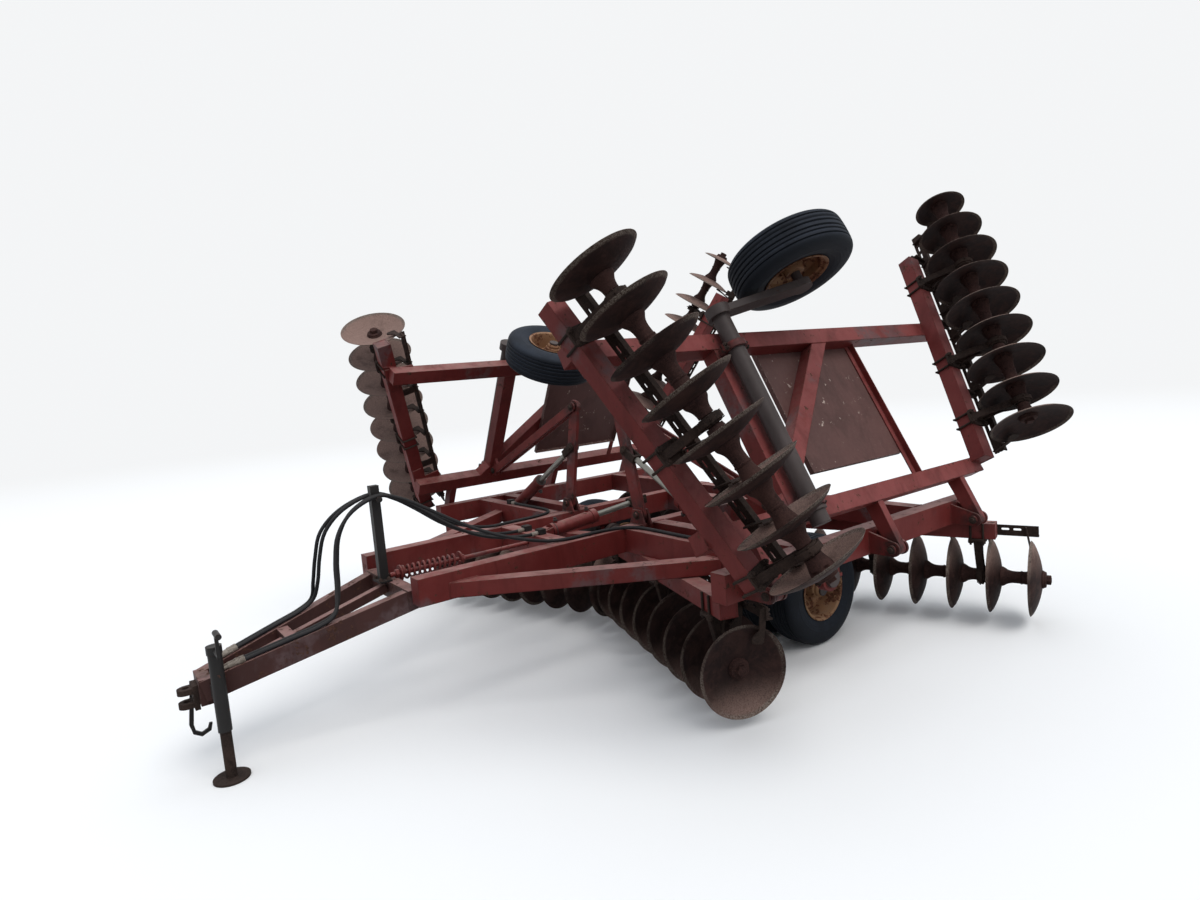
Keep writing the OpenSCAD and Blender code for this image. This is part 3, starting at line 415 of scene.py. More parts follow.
class Finish(Nodes):
    """The nodes of a new material on a piece's own coordinates."""

    def __init__(self, name):
        self.material = bpy.data.materials.new(name)
        self.material.use_nodes = True
        super().__init__(self.material.node_tree)
        self.shader = self.tree.nodes["Principled BSDF"]
        own = self.node("ShaderNodeTexCoord")
        self.coords, self.normal = own.outputs["Object"], own.outputs["Normal"]

    def noise(self, scale, detail=4.0, roughness=0.6, distortion=0.0, stretch=None):
        """Fractal noise, in features a metre."""
        vector = self.coords
        if stretch:
            mapping = self.node("ShaderNodeMapping")
            mapping.inputs["Scale"].default_value = stretch
            self.link(vector, mapping.inputs["Vector"])
            vector = mapping.outputs["Vector"]
        n = self.node("ShaderNodeTexNoise")
        self.link(vector, n.inputs["Vector"])
        values = {"Scale": scale, "Detail": detail, "Roughness": roughness, "Distortion": distortion}
        for key, value in values.items():
            n.inputs[key].default_value = value
        return n.outputs["Fac"]

    def speckle(self, scale):
        """Distance to the nearest of scattered points."""
        n = self.node("ShaderNodeTexVoronoi")
        self.link(self.coords, n.inputs["Vector"])
        n.inputs["Scale"].default_value = scale
        return n.outputs["Distance"]

    def span(self, fac, start, end, **values):
        """fac carried from the span start onto the span end."""
        n = self.node("ShaderNodeMapRange", clamp=True, **values)
        self.link(fac, n.inputs["Value"])
        for key, value in zip(("From Min", "From Max", "To Min", "To Max"), (*start, *end)):
            n.inputs[key].default_value = value
        return n.outputs["Result"]

    def ramp(self, fac, low, high):
        """0 below low, 1 above high, smooth between; low above high turns it round."""
        end = (0, 1) if low < high else (1, 0)
        return self.span(fac, sorted((low, high)), end, interpolation_type="SMOOTHSTEP")

    def between(self, fac, a, b):
        """a where fac is 0 and b where it is 1."""
        return self.span(fac, (0, 1), (a, b))

    def over(self, color, fac, most, layer):
        """A colour under a layer of another, whose share goes up to most where fac is 1."""
        return self.mix(self.between(fac, 0, most), color, layer)

    def edges(self, radius):
        """1 where an edge is nearer than radius, and the rounded normal there."""
        n = self.node("ShaderNodeBevel", samples=4)
        n.inputs["Radius"].default_value = radius
        flat = self.node("ShaderNodeNewGeometry").outputs["Normal"]
        dot = self.node("ShaderNodeVectorMath", operation="DOT_PRODUCT")
        self.link(n.outputs["Normal"], dot.inputs[0])
        self.link(flat, dot.inputs[1])
        return self.ramp(dot.outputs["Value"], 1.0, 0.75), n.outputs["Normal"]

    def up(self, low, high):
        """1 on faces that look up as the machine stands."""
        return self.ramp(self.part(self.normal, "Z"), low, high)

    def near(self, places, reach):
        """1 at any of the places, given in metres, and 0 beyond reach of all of them."""
        found = None
        for place in places:
            n = self.node("ShaderNodeVectorMath", operation="DISTANCE")
            self.link(self.coords, n.inputs[0])
            n.inputs[1].default_value = place
            close = self.ramp(n.outputs["Value"], reach, reach * 0.25)
            found = close if found is None else self.sum(found, close)
        return found

    def bump(self, height, distance, normal=None):
        """Normal of a surface whose height rises by up to distance, in metres."""
        n = self.node("ShaderNodeBump")
        n.inputs["Strength"].default_value = 0.6
        n.inputs["Distance"].default_value = distance
        self.link(height, n.inputs["Height"])
        if normal:
            self.link(normal, n.inputs["Normal"])
        return n.outputs["Normal"]

    def done(self, color, roughness, normal, specular, metallic=None):
        """The material, once its results are led into the shader."""
        inputs = self.shader.inputs
        results = {"Base Color": color, "Roughness": roughness, "Normal": normal, "Metallic": metallic}
        for key, socket in results.items():
            if socket:
                self.link(socket, inputs[key])
        inputs["Specular IOR Level"].default_value = specular
        return self.material


# The first colour is the pale chalky top of old paint, partly painted light from above.
PALE_TOP_AND_LIGHT, SCUFF, GREASE = (0.42, 0.24, 0.225), (0.115, 0.075, 0.078), (0.022, 0.016, 0.015)


def painted(name, paint, faded, rust, bleached=None, bare=0.35, edge=0.006, patch=0.56,
            dust=(0.24, 0.17, 0.13), specks=0.13, stains=()):
    """Old paint: sun-faded in clouds and paler on top, partly from the sun and partly as painted
    light from above; rusted through in spots, along edges and in drips, greasy about the
    joints, with dust that settles on the upper faces."""
    f = Finish(name)
    clouds = f.noise(2.2, 5, 0.6)
    fine = f.noise(38, 6, 0.7)
    color = f.mix(f.ramp(clouds, 0.35, 0.68), paint, faded)
    if bleached:
        # Upper faces paler and pinker: partly sun-faded paint, partly painted light from above.
        top_fade_and_light_mask = f.both(f.up(0.1, 0.6), f.ramp(f.noise(5, 4), 0.2, 0.6))
        color = f.over(color, top_fade_and_light_mask, 0.8, bleached)
        pale_top_and_light_mask = f.both(f.up(0.7, 1.0), f.ramp(f.noise(3.4, 5, 0.65), 0.3, 0.6))
        color = f.over(color, pale_top_and_light_mask, 0.6, PALE_TOP_AND_LIGHT)
        scuffed = f.both(f.ramp(f.noise(1.7, 5, 0.6), 0.55, 0.63), f.ramp(f.noise(21, 5, 0.7), 0.3, 0.55))
        color = f.over(color, scuffed, 0.75, SCUFF)
    streak = f.noise(7, 5, 0.65, 0.4, stretch=(1, 1, 0.22))
    color = f.over(color, f.ramp(streak, 0.45, 0.7), 0.5, times(paint, 0.55))
    color = f.over(color, f.both(f.up(0.35, 0.95), f.ramp(fine, 0.4, 0.62)), 0.35, dust)
    wear, rounded = f.edges(edge)
    chips = f.ramp(f.both(fine, f.noise(11, 4)), 0.5 * patch + 0.06, 0.5 * patch + 0.1)
    worn = f.sum(f.both(wear, f.ramp(f.noise(26, 5, 0.7), 0.42, 0.6)), chips)
    spots = f.ramp(f.sum(f.speckle(64), f.between(f.noise(5, 2), 0, 0.2)), specks + 0.05, specks)
    worn = f.sum(worn, f.between(spots, 0, 0.7))
    color = f.mix(worn, color, f.mix(f.ramp(f.noise(70, 4), 0.4, 0.6), rust, times(rust, 1.9)))
    if stains:
        grease = f.both(f.near(stains, 0.17), f.ramp(f.noise(19, 5, 0.7), 0.32, 0.58))
        color = f.over(color, grease, 0.75, GREASE)
    roughness = f.between(f.sum(worn, f.between(clouds, 0, 0.4)), bare + 0.14, 0.9)
    height = f.sum(f.between(fine, 0, 0.5), f.between(worn, 0.3, 0))
    return f.done(color, roughness, f.bump(height, 0.0016, rounded), specular=0.22)


def rusted(name, dark, light, edge=0.004, scale=1.0, roughness=0.85):
    """Bare steel or iron gone to rust: two browns in clouds and grains, with pits."""
    f = Finish(name)
    clouds = f.noise(6 * scale, 6, 0.65, 0.3)
    grain = f.noise(120 * scale, 5, 0.75)
    color = f.mix(f.ramp(clouds, 0.34, 0.66), dark, light)
    color = f.over(color, f.ramp(grain, 0.4, 0.66), 0.5, times(light, 1.7))
    color = f.over(color, f.ramp(f.noise(17 * scale, 4, 0.7), 0.55, 0.7), 0.55, times(dark, 0.5))
    wear, rounded = f.edges(edge)
    worn = f.both(wear, f.ramp(f.noise(31, 4), 0.38, 0.6))
    color = f.over(color, worn, 0.6, times(light, 2.2))
    height = f.sum(f.between(grain, 0, 0.6), f.between(clouds, 0, 0.5))
    rough = f.between(grain, roughness - 0.15, roughness + 0.1)
    return f.done(color, rough, f.bump(height, 0.0022, rounded), specular=0.14)


def blade_finish(name, dark, light, edge_scour_and_glint, dust):
    """Rusted blade: dark below; paler on its upper face, partly from dust and partly as a
    painted sheen of the sky; pale round its ground edge, partly scoured and partly a painted glint.

    The pale rim reads the attribute from_rim, the distance from the rim in metres."""
    f = Finish(name)
    from_rim = f.node("ShaderNodeAttribute", attribute_name="from_rim").outputs["Fac"]
    clouds = f.noise(9, 6, 0.7, 0.5)
    grain = f.noise(160, 4, 0.75)
    color = f.mix(f.ramp(clouds, 0.38, 0.66), dark, light)
    color = f.over(color, f.ramp(f.noise(23, 5, 0.7), 0.52, 0.7), 0.5, times(light, 1.5))
    # Paler upper faces: partly settled dust, partly painted sheen of the sky.
    settled = f.both(f.up(0.05, 0.5), f.ramp(f.noise(6, 5, 0.65), 0.12, 0.5))
    color = f.over(color, settled, 0.9, f.mix(f.ramp(grain, 0.4, 0.62), dust, times(dust, 0.66)))
    color = f.over(color, f.ramp(grain, 0.5, 0.68), 0.3, times(dark, 0.6))
    # Pale band round the rim: partly scoured steel, partly a painted glint of light on the ground edge.
    reach = f.sum(from_rim, f.between(f.noise(14, 3), -0.006, 0.006), "SUBTRACT")
    scour_and_glint_mask = f.both(f.ramp(reach, 0.026, 0.012), f.ramp(f.noise(2.6, 3), 0.36, 0.56))
    color = f.over(color, scour_and_glint_mask, 0.8, f.mix(f.ramp(grain, 0.38, 0.62), edge_scour_and_glint, light))
    height = f.sum(f.between(grain, 0, 0.35), f.between(clouds, 0, 0.6))
    return f.done(color, f.between(grain, 0.62, 0.85), f.bump(height, 0.0009), specular=0.14)


def rubber_finish(name, base, dusty, scale=60.0, roughness=0.62):
    """Weathered rubber, greyed in clouds by dust, most where it looks up."""
    f = Finish(name)
    fine = f.noise(scale, 5, 0.7)
    facing = f.between(f.up(-0.3, 0.7), 0.15, 1)
    settled = f.both(facing, f.ramp(f.noise(3.5, 5, 0.62), 0.2, 0.6))
    color = f.mix(settled, base, dusty)
    color = f.over(color, f.both(settled, f.ramp(fine, 0.5, 0.68)), 0.5, times(dusty, 1.6))
    rough = f.between(fine, roughness, roughness + 0.16)
    return f.done(color, rough, f.bump(fine, 0.0009), specular=0.16)


def rod_finish(name, bright, stain):
    """Hard-chromed rod with rust freckles."""
    f = Finish(name)
    spots = f.ramp(f.both(f.noise(60, 5, 0.7), f.noise(9, 3)), 0.30, 0.42)
    color = f.over(bright, spots, 0.7, stain)
    rough, metallic = f.between(spots, 0.34, 0.7), f.between(spots, 0.7, 0.3)
    return f.done(color, rough, None, specular=0.5, metallic=metallic)


# Sizes and colours that a user would change


def metres(text, value, low, high):
    """A property in metres with its default and limits."""
    return FloatProperty(description=text, default=value, min=low, max=high, unit="LENGTH")


class HarrowSizes(bpy.types.PropertyGroup):
    edge_width: metres("Width of the ground edge of a blade", 0.020, 0.0, 0.05)
    hose_diameter: metres("Outside diameter of a hydraulic hose", 0.021, 0.01, 0.04)
    groove_depth: metres("Depth of the grooves between tyre ribs", 0.009, 0.0, 0.02)
    blade_steps: IntProperty(description="Steps round a blade", default=72, min=24, max=128)
    tyre_steps: IntProperty(description="Steps round a tyre", default=128, min=32, max=256)


def colour(text, value):
    """A colour property with its default."""
    return FloatVectorProperty(description=text, subtype="COLOR", size=3, min=0, max=1, default=value)


class HarrowFinish(bpy.types.PropertyGroup):
    frame_red: colour("Paint of the frame", (0.130, 0.0160, 0.0145))
    faded_red: colour("Frame paint where the sun has bleached it", (0.175, 0.032, 0.029))
    # Colour of the upper faces: partly sun-faded paint, partly painted light from above.
    top_red_faded_and_lit: colour("Frame paint on upper faces", (0.260, 0.068, 0.066))
    # The tongue's dark red-brown: partly worn paint, partly painted shade.
    tongue: colour("Worn paint of the tongue", (0.046, 0.0175, 0.0155))
    rust: colour("Rust under the paint", (0.050, 0.023, 0.016))
    blade: colour("Dark rust of the blades", (0.0145, 0.0072, 0.0068))
    blade_light: colour("Light rust of the blades", (0.040, 0.0195, 0.0168))
    # Pale rim of the blades: partly scoured steel, partly a painted glint.
    blade_edge_scour_and_glint: colour("Scoured edge of the blades", (0.27, 0.225, 0.19))
    # Upper faces of the blades: partly dry earth, partly painted sheen of the sky.
    blade_dust_and_sheen: colour("Dry earth on the upper faces of the blades", (0.30, 0.195, 0.165))
    iron: colour("Hangers and scrapers", (0.018, 0.013, 0.0115))
    iron_light: colour("Hangers and scrapers in the light", (0.046, 0.030, 0.025))
    shaft: colour("Dull dark paint of the rockshafts", (0.048, 0.037, 0.036))
    rim: colour("Pale paint of the wheel rims", (0.33, 0.185, 0.10))
    tyre: colour("Tyre rubber", (0.0062, 0.0078, 0.0112))
    post: colour("Black paint of the hose post and the jack", (0.0125, 0.0115, 0.0115))
    plate: colour("Brown paint of the wing plates", (0.098, 0.047, 0.043))


# Greasy places of the frame: hinge pins, the linkage's pins and the wing rockshafts' bearings
COLLARS = [(FOLDED @ (x, WING_SHAFT_Y, SHAFT_Z, 1))[:3] for x in COLLAR_XS]
JOINTS = [(HINGE_X, y, HINGE_Z) for y in HINGE_YS]
JOINTS += [LEVER_FOOT, LEVER_PIN, LEVER_TOP, CYLINDER_AT, *COLLARS]
GREASY = [tuple((np.array(p) * (s, 1, 1) + (0, MID_Y, 0)) / 1000) for s in (-1, 1) for p in JOINTS]


def finishes():
    """The harrow's materials by name, made once."""
    made = bpy.data.materials
    if "frame paint" in made:
        return made
    c = bpy.context.scene.harrow_finish
    painted("frame paint", c.frame_red, c.faded_red, c.rust, c.top_red_faded_and_lit, edge=0.009, stains=GREASY)
    # Tongue: its dark red-brown is partly worn paint, partly painted shade; its paler tops are partly
    # painted light from above.
    painted("tongue paint and painted shade", c.tongue, times(c.tongue, 1.4), c.rust, (0.205, 0.092, 0.086),
            edge=0.008, patch=0.5)
    painted("shaft paint", c.shaft, times(c.shaft, 1.5), c.rust, bare=0.3, patch=0.66,
            dust=(0.13, 0.10, 0.085))
    painted("black paint", c.post, times(c.post, 1.7), c.rust, bare=0.3, patch=0.6,
            dust=(0.10, 0.08, 0.07))
    painted("plate paint", c.plate, times(c.plate, 1.2), (0.30, 0.24, 0.21), patch=0.6, specks=0.06)
    painted("rim paint", c.rim, (0.25, 0.12, 0.062), (0.10, 0.042, 0.024), edge=0.004, patch=0.37)
    # The hangers' and scrapers' lighter colour is partly rust tone, partly painted highlight, laid in
    # clouds, grains and along edges.
    rusted("rusty iron", c.iron, c.iron_light)
    rusted("rusty spool", times(c.blade, 1.3), times(c.blade_light, 1.35), scale=1.3)
    rusted("plated steel", (0.11, 0.088, 0.070), (0.25, 0.22, 0.19), edge=0.002, roughness=0.6)
    blade_finish("rusty blade", c.blade, c.blade_light, c.blade_edge_scour_and_glint, c.blade_dust_and_sheen)
    rubber_finish("tyre rubber", c.tyre, times(c.tyre, 3.6))
    rubber_finish("hose rubber", (0.014, 0.014, 0.016), (0.030, 0.029, 0.030), 90, 0.5)
    rod_finish("chromed rod", (0.24, 0.235, 0.21), (0.12, 0.09, 0.07))
    return made


# Pieces


def sided(*names):
    """The names of both sides' nodes."""
    return [f"{side}_{name}" for name in names for side, mirror in SIDES]


# CAD nodes that keep their own mesh, by finish
DRESSED = {
    "frame paint": ["frame", "front_beams", "rear_beams", "cross_tubes", "lift_barrel",
                    *sided("wing", "lever", "link", "fold_barrel")],
    "tongue paint and painted shade": ["tongue"],
    "shaft paint": ["rockshaft", *sided("wing_shaft")],
    "black paint": ["jack_tube", "hose_post", "safety_hook", "hose_blocks"],
    "rusty iron": ["centre_hangers", "centre_scrapers", "hitch_clevis", "jack_leg", "lift_rod",
                   *sided("wing_hangers", "wing_scrapers", "fold_rod")],
    "plated steel": ["hose_tips"],
    "plate paint": sided("plate"),
}


class HARROW_OT_frame(bpy.types.Operator):
    """Paint the frame, wings, shafts, levers and cylinders"""

    bl_idname = "harrow.frame"
    bl_label = "Frame finishes"

    def execute(self, context):
        made = finishes()
        for finish, nodes in DRESSED.items():
            for node in nodes:
                dress(node, made[finish])
        return {"FINISHED"}


# Section, row, place on the left, how many blades, which spools are bearings, dish
# direction, how far the beam is from the gang, diameters of the outer blades that differ
GANGS = [
    ("centre", "front", CENTRE_FRONT, 8, (0, 3, 6), 1, BEAM_FRONT, ()),
    ("centre", "rear", CENTRE_REAR, 9, (1, 4, 7), -1, BEAM_REAR, ()),
    ("wing", "front", WING_FRONT, 8, (0, 3, 6), 1, BEAM_FRONT, ()),
    ("wing", "rear", WING_REAR, 9, (2, 5, 7), -1, BEAM_REAR, (346.0, 432.0)),
]


def blade(diameter, edge, steps):
    """Part of a sphere, t = S - sqrt(S^2 - r^2), with a ground edge on its convex side.

    Returns the shape and each point's distance from the rim."""
    radius = diameter / 2
    r = np.concatenate([np.linspace(0, radius - edge, 10), np.linspace(radius - edge, radius, 4)[1:]])
    face = BLADE_SPHERE - np.sqrt(BLADE_SPHERE**2 - r**2)
    thick = np.interp(r, [0, radius - edge, radius], [BLADE_T, BLADE_T, EDGE_T])
    front = np.stack([face, r], -1)
    back = np.stack([face - thick, r], -1)[::-1]
    shape = lathe(np.concatenate([front, back]), steps)
    return shape, radius - np.hypot(shape.points[:, 1], shape.points[:, 2])


def spool(bearing):
    """Spool from its foot on a hollow face up to its bell behind the next blade.

    The foot has six pockets: r loses 11 exp(-((t - 20)/9)^4 - (a/0.24)^4) round each."""
    foot = [(-2, 0), (-2, 57), (3, 58.6), (8, 59.4), (12, 59.6), (16, 59.4), (20, 58.8), (24, 58), (28, 57),
            (33, 55.6), (40, 53.4), (49, 50.4), (60, 47), (72, 44)]
    if bearing:
        middle = [(85, 42), (86, 41.2), (86, 30.2), (142.6, 30.2), (142.6, 38.2), (143.6, 39)]
    else:
        middle = [(90, 41), (105, 39.6), (106.5, 42), (108, 42.8), (114.5, 42.8), (116, 42), (117.5, 39),
                  (132, 38.2)]
    bell = [(150, 38.2), (162, 38.8), (174, 40.8), (184, 43.8), (192, 47.4), (199, 51.8), (205, 56),
            (211, 60), (217, 62.6), (223, 63.6), (227, 63.2), (227, 0)]
    made = lathe(foot + middle + bell, 72)
    t, y, z = made.points.T
    r = np.hypot(y, z)
    a = (np.arctan2(z, y) + np.pi / 6) % (np.pi / 3) - np.pi / 6
    lost = np.where(r > 45, 11 * np.exp(-(((t - 20) / 9) ** 4) - (a / 0.24) ** 4), 0)
    dent = 1 - lost / np.maximum(r, 1)
    made.points = np.stack([t, y * dent, z * dent], -1)
    return made


def gang_shapes(count, bearings, out, outer_blades, edge, steps):
    """Blades and spools of one gang along -x from its outer blade's rim."""
    blades, rims, spools = [], [], []
    facing, back = np.diag([out, 1.0, 1, 1]), turn("z", 180)
    for i in range(count):
        shape, from_rim = blade(outer_blades[i] if i < len(outer_blades) else BLADE_DIA, edge, steps)
        blades.append(shape.moved(shift(-i * PITCH - out * DISH, 0, 0) @ facing))
        rims.append(from_rim)
    for i in range(count - 1):
        hub = -(i + (out > 0)) * PITCH - out * DISH
        spools.append(spool(i in bearings).moved(shift(hub, 0, 0) @ facing))
    outer = -out * DISH
    inner = -(count - 1) * PITCH - out * DISH
    cap = lathe([(0, 0), (0, 56), (5, 57), (14, 50), (20, 50), (22, 46), (22, 0)], 44)
    spools.append(cap.moved(shift(outer + 3, 0, 0)))
    spools.append(cap.moved(shift(inner - 3, 0, 0) @ back))
    spools.append(stub(0, 27, 31, 3, 28, 6).moved(shift(outer + 24, 0, 0)))
    spools.append(stub(0, 53, 19, 3, 16, 24).moved(shift(outer, 0, 0)))
    spools.append(stub(0, 23, 31, 3, 28, 4).moved(shift(inner - 24, 0, 0) @ back))
    return joined(blades), np.concatenate(rims), joined(spools)


class HARROW_OT_gangs(bpy.types.Operator):
    """Build the blades, spools and gang bolts"""

    bl_idname = "harrow.gangs"
    bl_label = "Disc gangs"

    def execute(self, context):
        sizes, made = context.scene.harrow_sizes, finishes()
        for section, row, left, count, bearings, out, off, outer_blades in GANGS:
            blades, from_rim, spools = gang_shapes(count, bearings, out, outer_blades,
                                                   sizes.edge_width * 1000, sizes.blade_steps)
            for side, mirror in SIDES:
                node = f"gang_{row}_{side}" if section == "centre" else f"wing_gang_{row}_{side}"
                m = mirror @ left
                piece = place(node + "_blades", blades.moved(m), node, made["rusty blade"], "rust",
                              replaces=(node,))
                attribute = piece.data.attributes.new("from_rim", "FLOAT", "POINT")
                attribute.data.foreach_set("value", (from_rim / 1000).astype(np.float32))
                place(node + "_spools", spools.moved(m), node, made["rusty spool"], "rust")
        return {"FINISHED"}


def tyre_shape(depth, steps):
    """Ribbed implement tyre round x: a smooth half-section mirrored, less six grooves.

    Its side walls carry a sunk line under the shoulder and two raised ones."""
    half = [(0, TYRE_R), (34, 349.4), (62, 347.5), (80, 344), (92, 337), (101, 325), (107, 306),
            (110.3, 284), (111, 262), (108.5, 240), (103, 218), (97, 200), (93, 188), (90, 179.5)]
    side = smooth_path(half, 6)
    x = side[:, 0]
    for centre in (14, 41, 67):
        side[:, 1] -= depth * np.clip(1.35 - np.abs(x - centre) / 3.4, 0, 1)
    side[:, 1] -= 2.2 * (np.clip(1 - np.abs(side[:, 1] - 317) / 2.5, 0, 1)) * (x > 95)
    side[:, 0] += 1.8 * np.clip(1 - np.abs(side[:, 1] - 258) / 3.0, 0, 1)
    side[:, 0] += 1.5 * np.clip(1 - np.abs(side[:, 1] - 226) / 2.5, 0, 1)
    profile = np.concatenate([side[::-1], (side * (-1, 1))[1:]])
    return lathe(profile, steps)


def rim_shape():
    """Dropped-centre rim with its disc and hub, turned round x, plus nuts and valve."""
    r = RIM_R
    bead_seat = [(83, r - 10), (98, r - 5), (104, r + 10), (102, r + 13), (97, r + 12), (92, r + 1),
                 (60, r - 0.5)]
    section = [(-76, 28.2), (-76, 54), (-70, 58), (-28, 62), (-18, 72), (-8, 112), (-14, 134),
               (-34, r - 24), (-60, r - 23), (-78, r - 22), *[(-x, y) for x, y in bead_seat],
               *bead_seat[::-1], (34, r - 13), (-22, r - 16), (-6, 136), (2, 112), (-8, 74), (-2, 62),
               (58, 57), (64, 52), (64, 28.2)]
    parts = [lathe(section, 72)]
    stud = lathe([(0, 0), (0, 9), (14, 9), (15, 0)], 14)
    for k in range(6):
        a = 2 * math.pi * k / 6
        y, z = 88 * math.cos(a), 88 * math.sin(a)
        parts += [bolt((-6, y, z), X_AXIS, 24, shank=8), stud.moved(shift(-30, y, z))]
    cap = [(0, 0), (0, 46), (16, 46), (26, 38), (30, 22), (31, 0)]
    parts.append(lathe(cap, 32).moved(shift(62, 0, 0)))
    parts.append(tube([(20, 150, 0), (34, 146, 0), (52, 144, 0)], 4.5, 10, 4))
    return joined(parts)


def wheel_place(x, y, length, drop):
    """Place of a wheel at the end of an arm that hangs by the angle drop."""
    return shift(x, y, SHAFT_Z) @ turn("x", -drop) @ shift(0, length, 0)


def wing_wheel_place(drop):
    """Place of the left wing's wheel, folded, with its arm at the angle drop."""
    return FOLDED @ wheel_place(WING_ARM_X + TWIN_OFF, WING_SHAFT_Y, WING_ARM_LEN, drop)


ARM_DROP = math.degrees(math.asin((SHAFT_Z - TYRE_R) / ARM_LEN))
WING_DROP = math.degrees(math.asin((SHAFT_Z - TYRE_R) / WING_ARM_LEN))
TWINS = [wheel_place(ARM_X + s * TWIN_OFF, SHAFT_Y, ARM_LEN, ARM_DROP) for s in (-1, 1)]
TWINS[0] = TWINS[0] @ turn("z", 180)
# Name of the pieces, body, rim node, tyre node, places; the right wing's arm has swung over
WHEELS = [
    ("left", "left_wheels", "left_rims", "left_tyres", TWINS),
    ("right", "right_wheels", "right_rims", "right_tyres", [MIRROR @ m for m in TWINS]),
    ("left_wing", "left_wing_wheel", "left_wing_rim", "left_wing_tyre", [wing_wheel_place(WING_DROP)]),
    ("right_wing", "right_wing_wheel", "right_wing_rim", "right_wing_tyre",
     [MIRROR @ wing_wheel_place(LOOSE_DROP)]),
]


class HARROW_OT_wheels(bpy.types.Operator):
    """Build the tyres and the rims"""

    bl_idname = "harrow.wheels"
    bl_label = "Wheels"

    def execute(self, context):
        sizes, made = context.scene.harrow_sizes, finishes()
        tyre, rim = tyre_shape(sizes.groove_depth * 1000, sizes.tyre_steps), rim_shape()
        for name, body, rim_node, tyre_node, places in WHEELS:
            tyres, rims = (joined(shape.moved(m) for m in places) for shape in (tyre, rim))
            place(name + "_tyre_ribbed", tyres, body, made["tyre rubber"], "tyre", angle=50,
                  replaces=(tyre_node,))
            place(name + "_rim_pressed", rims, body, made["rim paint"], "rim", replaces=(rim_node,))
        return {"FINISHED"}


# Hoses: the CAD part's own routes


def on_rail(y):
    """Height of a hose's middle where it lies on a tongue rail."""
    return 690 + (y + 2290) / 4 + 57 + HOSE_R + 3


def rail_mid(y):
    """Distance of a tongue rail from the middle of the machine."""
    return 70 + (y + 3330) * 230 / 1040


def hose_rise(side, hook_x, bulge):
    """Route from the tip on the tongue up to the hook on the post."""
    laid = [(rail_mid(y) + side * 16, y, on_rail(y)) for y in (-3180, -3040, -2910, -2790)]
    return laid + [(rail_mid(-2700) + side * 12 - 10, -2696 - bulge * 0.3, 682),
                   (150 + side * 14, -2648 - bulge, 790), (118 + side * 12, -2630 - bulge, 930),
                   (hook_x + 38, -2592 - bulge, 1070), (hook_x + 14, -2504 - bulge / 2, 1180),
                   (hook_x, -2356, HOOK_Z + 6 + HOSE_R + 1)]


TOP_Z = FRAME_TOP + HOSE_R + 1
TO_BLOCK = [(42, -2230, 1196), (52, -2100, 1110), (62, -1970, 1012), (70, -1830, 928), (78, -1690, 872),
            (84, -1540, 842), (88, -1430, TOP_Z), (88, -1361.2, TOP_Z)]
TO_CYLINDER = [(76, -2226, 1204), (100, -2100, 1130), (142, -1970, 1045), (196, -1840, 968),
               (254, -1710, 908), (312, -1580, 866), (366, -1450, 838), (398, -1320, TOP_Z),
               (402, -1190, TOP_Z), (410, -1060, TOP_Z), (448, -948, TOP_Z), (540, -888, TOP_Z),
               (670, -878, TOP_Z), (810, -880, TOP_Z), (950, -882, TOP_Z), (1082.8, -880, TOP_Z)]
HOSES = [
    ("hose_a", 1, hose_rise(-1, 37, 0) + TO_BLOCK),
    ("hose_b", -1, hose_rise(-1, 37, 34) + TO_BLOCK),
    ("hose_c", 1, hose_rise(1, 66, 18) + TO_CYLINDER),
    ("hose_d", -1, hose_rise(1, 66, 52) + TO_CYLINDER),
]


def hose_route(side, points):
    """Smooth route of a hose through its points, on the side 1 or -1 of the machine."""
    return smooth_path(np.array(points, float) * (side, 1, 1), 5)


class HARROW_OT_hoses(bpy.types.Operator):
    """Build the hydraulic hoses along their routes"""

    bl_idname = "harrow.hoses"
    bl_label = "Hoses"

    def execute(self, context):
        radius, made = context.scene.harrow_sizes.hose_diameter * 500, finishes()
        for node, side, points in HOSES:
            route = hose_route(side, points)[::-1]
            piece = place(node + "_rubber", tube(route, radius, 14), "chassis", made["hose rubber"],
                          "rubber", replaces=(node,))
            path = (route + (0, MID_Y, 0)) / 1000
            length = float(np.linalg.norm(np.diff(path, axis=0), axis=1).sum())
            tuple(path[0])
        return {"FINISHED"}


# Nuts, bolts, pins, welds and fittings, on the left side


def hanger_hardware(m, bearings, out, off):
    """U-bolt nuts, flange bolts, seals and grease nipples of one gang's hangers."""
    rise, parts = BEAM_Z - GANG_Z, []
    nipple = lathe([(0, 0), (0, 5), (6, 5), (6, 2.8), (10, 2.8), (12, 3.6), (14, 2.6), (15, 0)], 10)
    thread = lathe([(0, 0), (0, 5), (2, 7), (12, 7), (12, 0)], 12)
    seal = lathe([(0, 35), (0, 48), (2.6, 46), (2.6, 37)], 40)
    for i in bearings:
        here = [nipple.moved(along((0, -45, -45), (0, -1, -1)))]
        for s in (-1, 1):
            for y in (-off - 57, -off + 57):
                here.append(hex_nut((s * 36, y, rise - 78.5), Z_AXIS, 27.4, 17))
                here.append(thread.moved(along((s * 36, y, rise - 90), Z_AXIS)))
            for k in range(4):
                a = math.pi * (0.25 + 0.5 * k)
                flange = (s * 14, 58 * math.cos(a), 58 * math.sin(a))
                here.append(bolt(flange, (s, 0, 0), 11, washer=False))
            here.append(seal.moved(along((s * 22, 0, 0), (s, 0, 0))))
        parts.append(joined(here).moved(shift(-(i + 0.5) * PITCH - out * DISH, 0, 0)))
    return joined(parts).moved(m)


def scraper_bolts(m, count, out, off):
    """Two bolts through each scraper and its bar."""
    places = [(-i * PITCH + out * 26, 175 - off, z) for i in range(count) for z in (281, 303)]
    return joined(bolt(p, Y_AXIS, 19, shank=7) for p in places).moved(m)


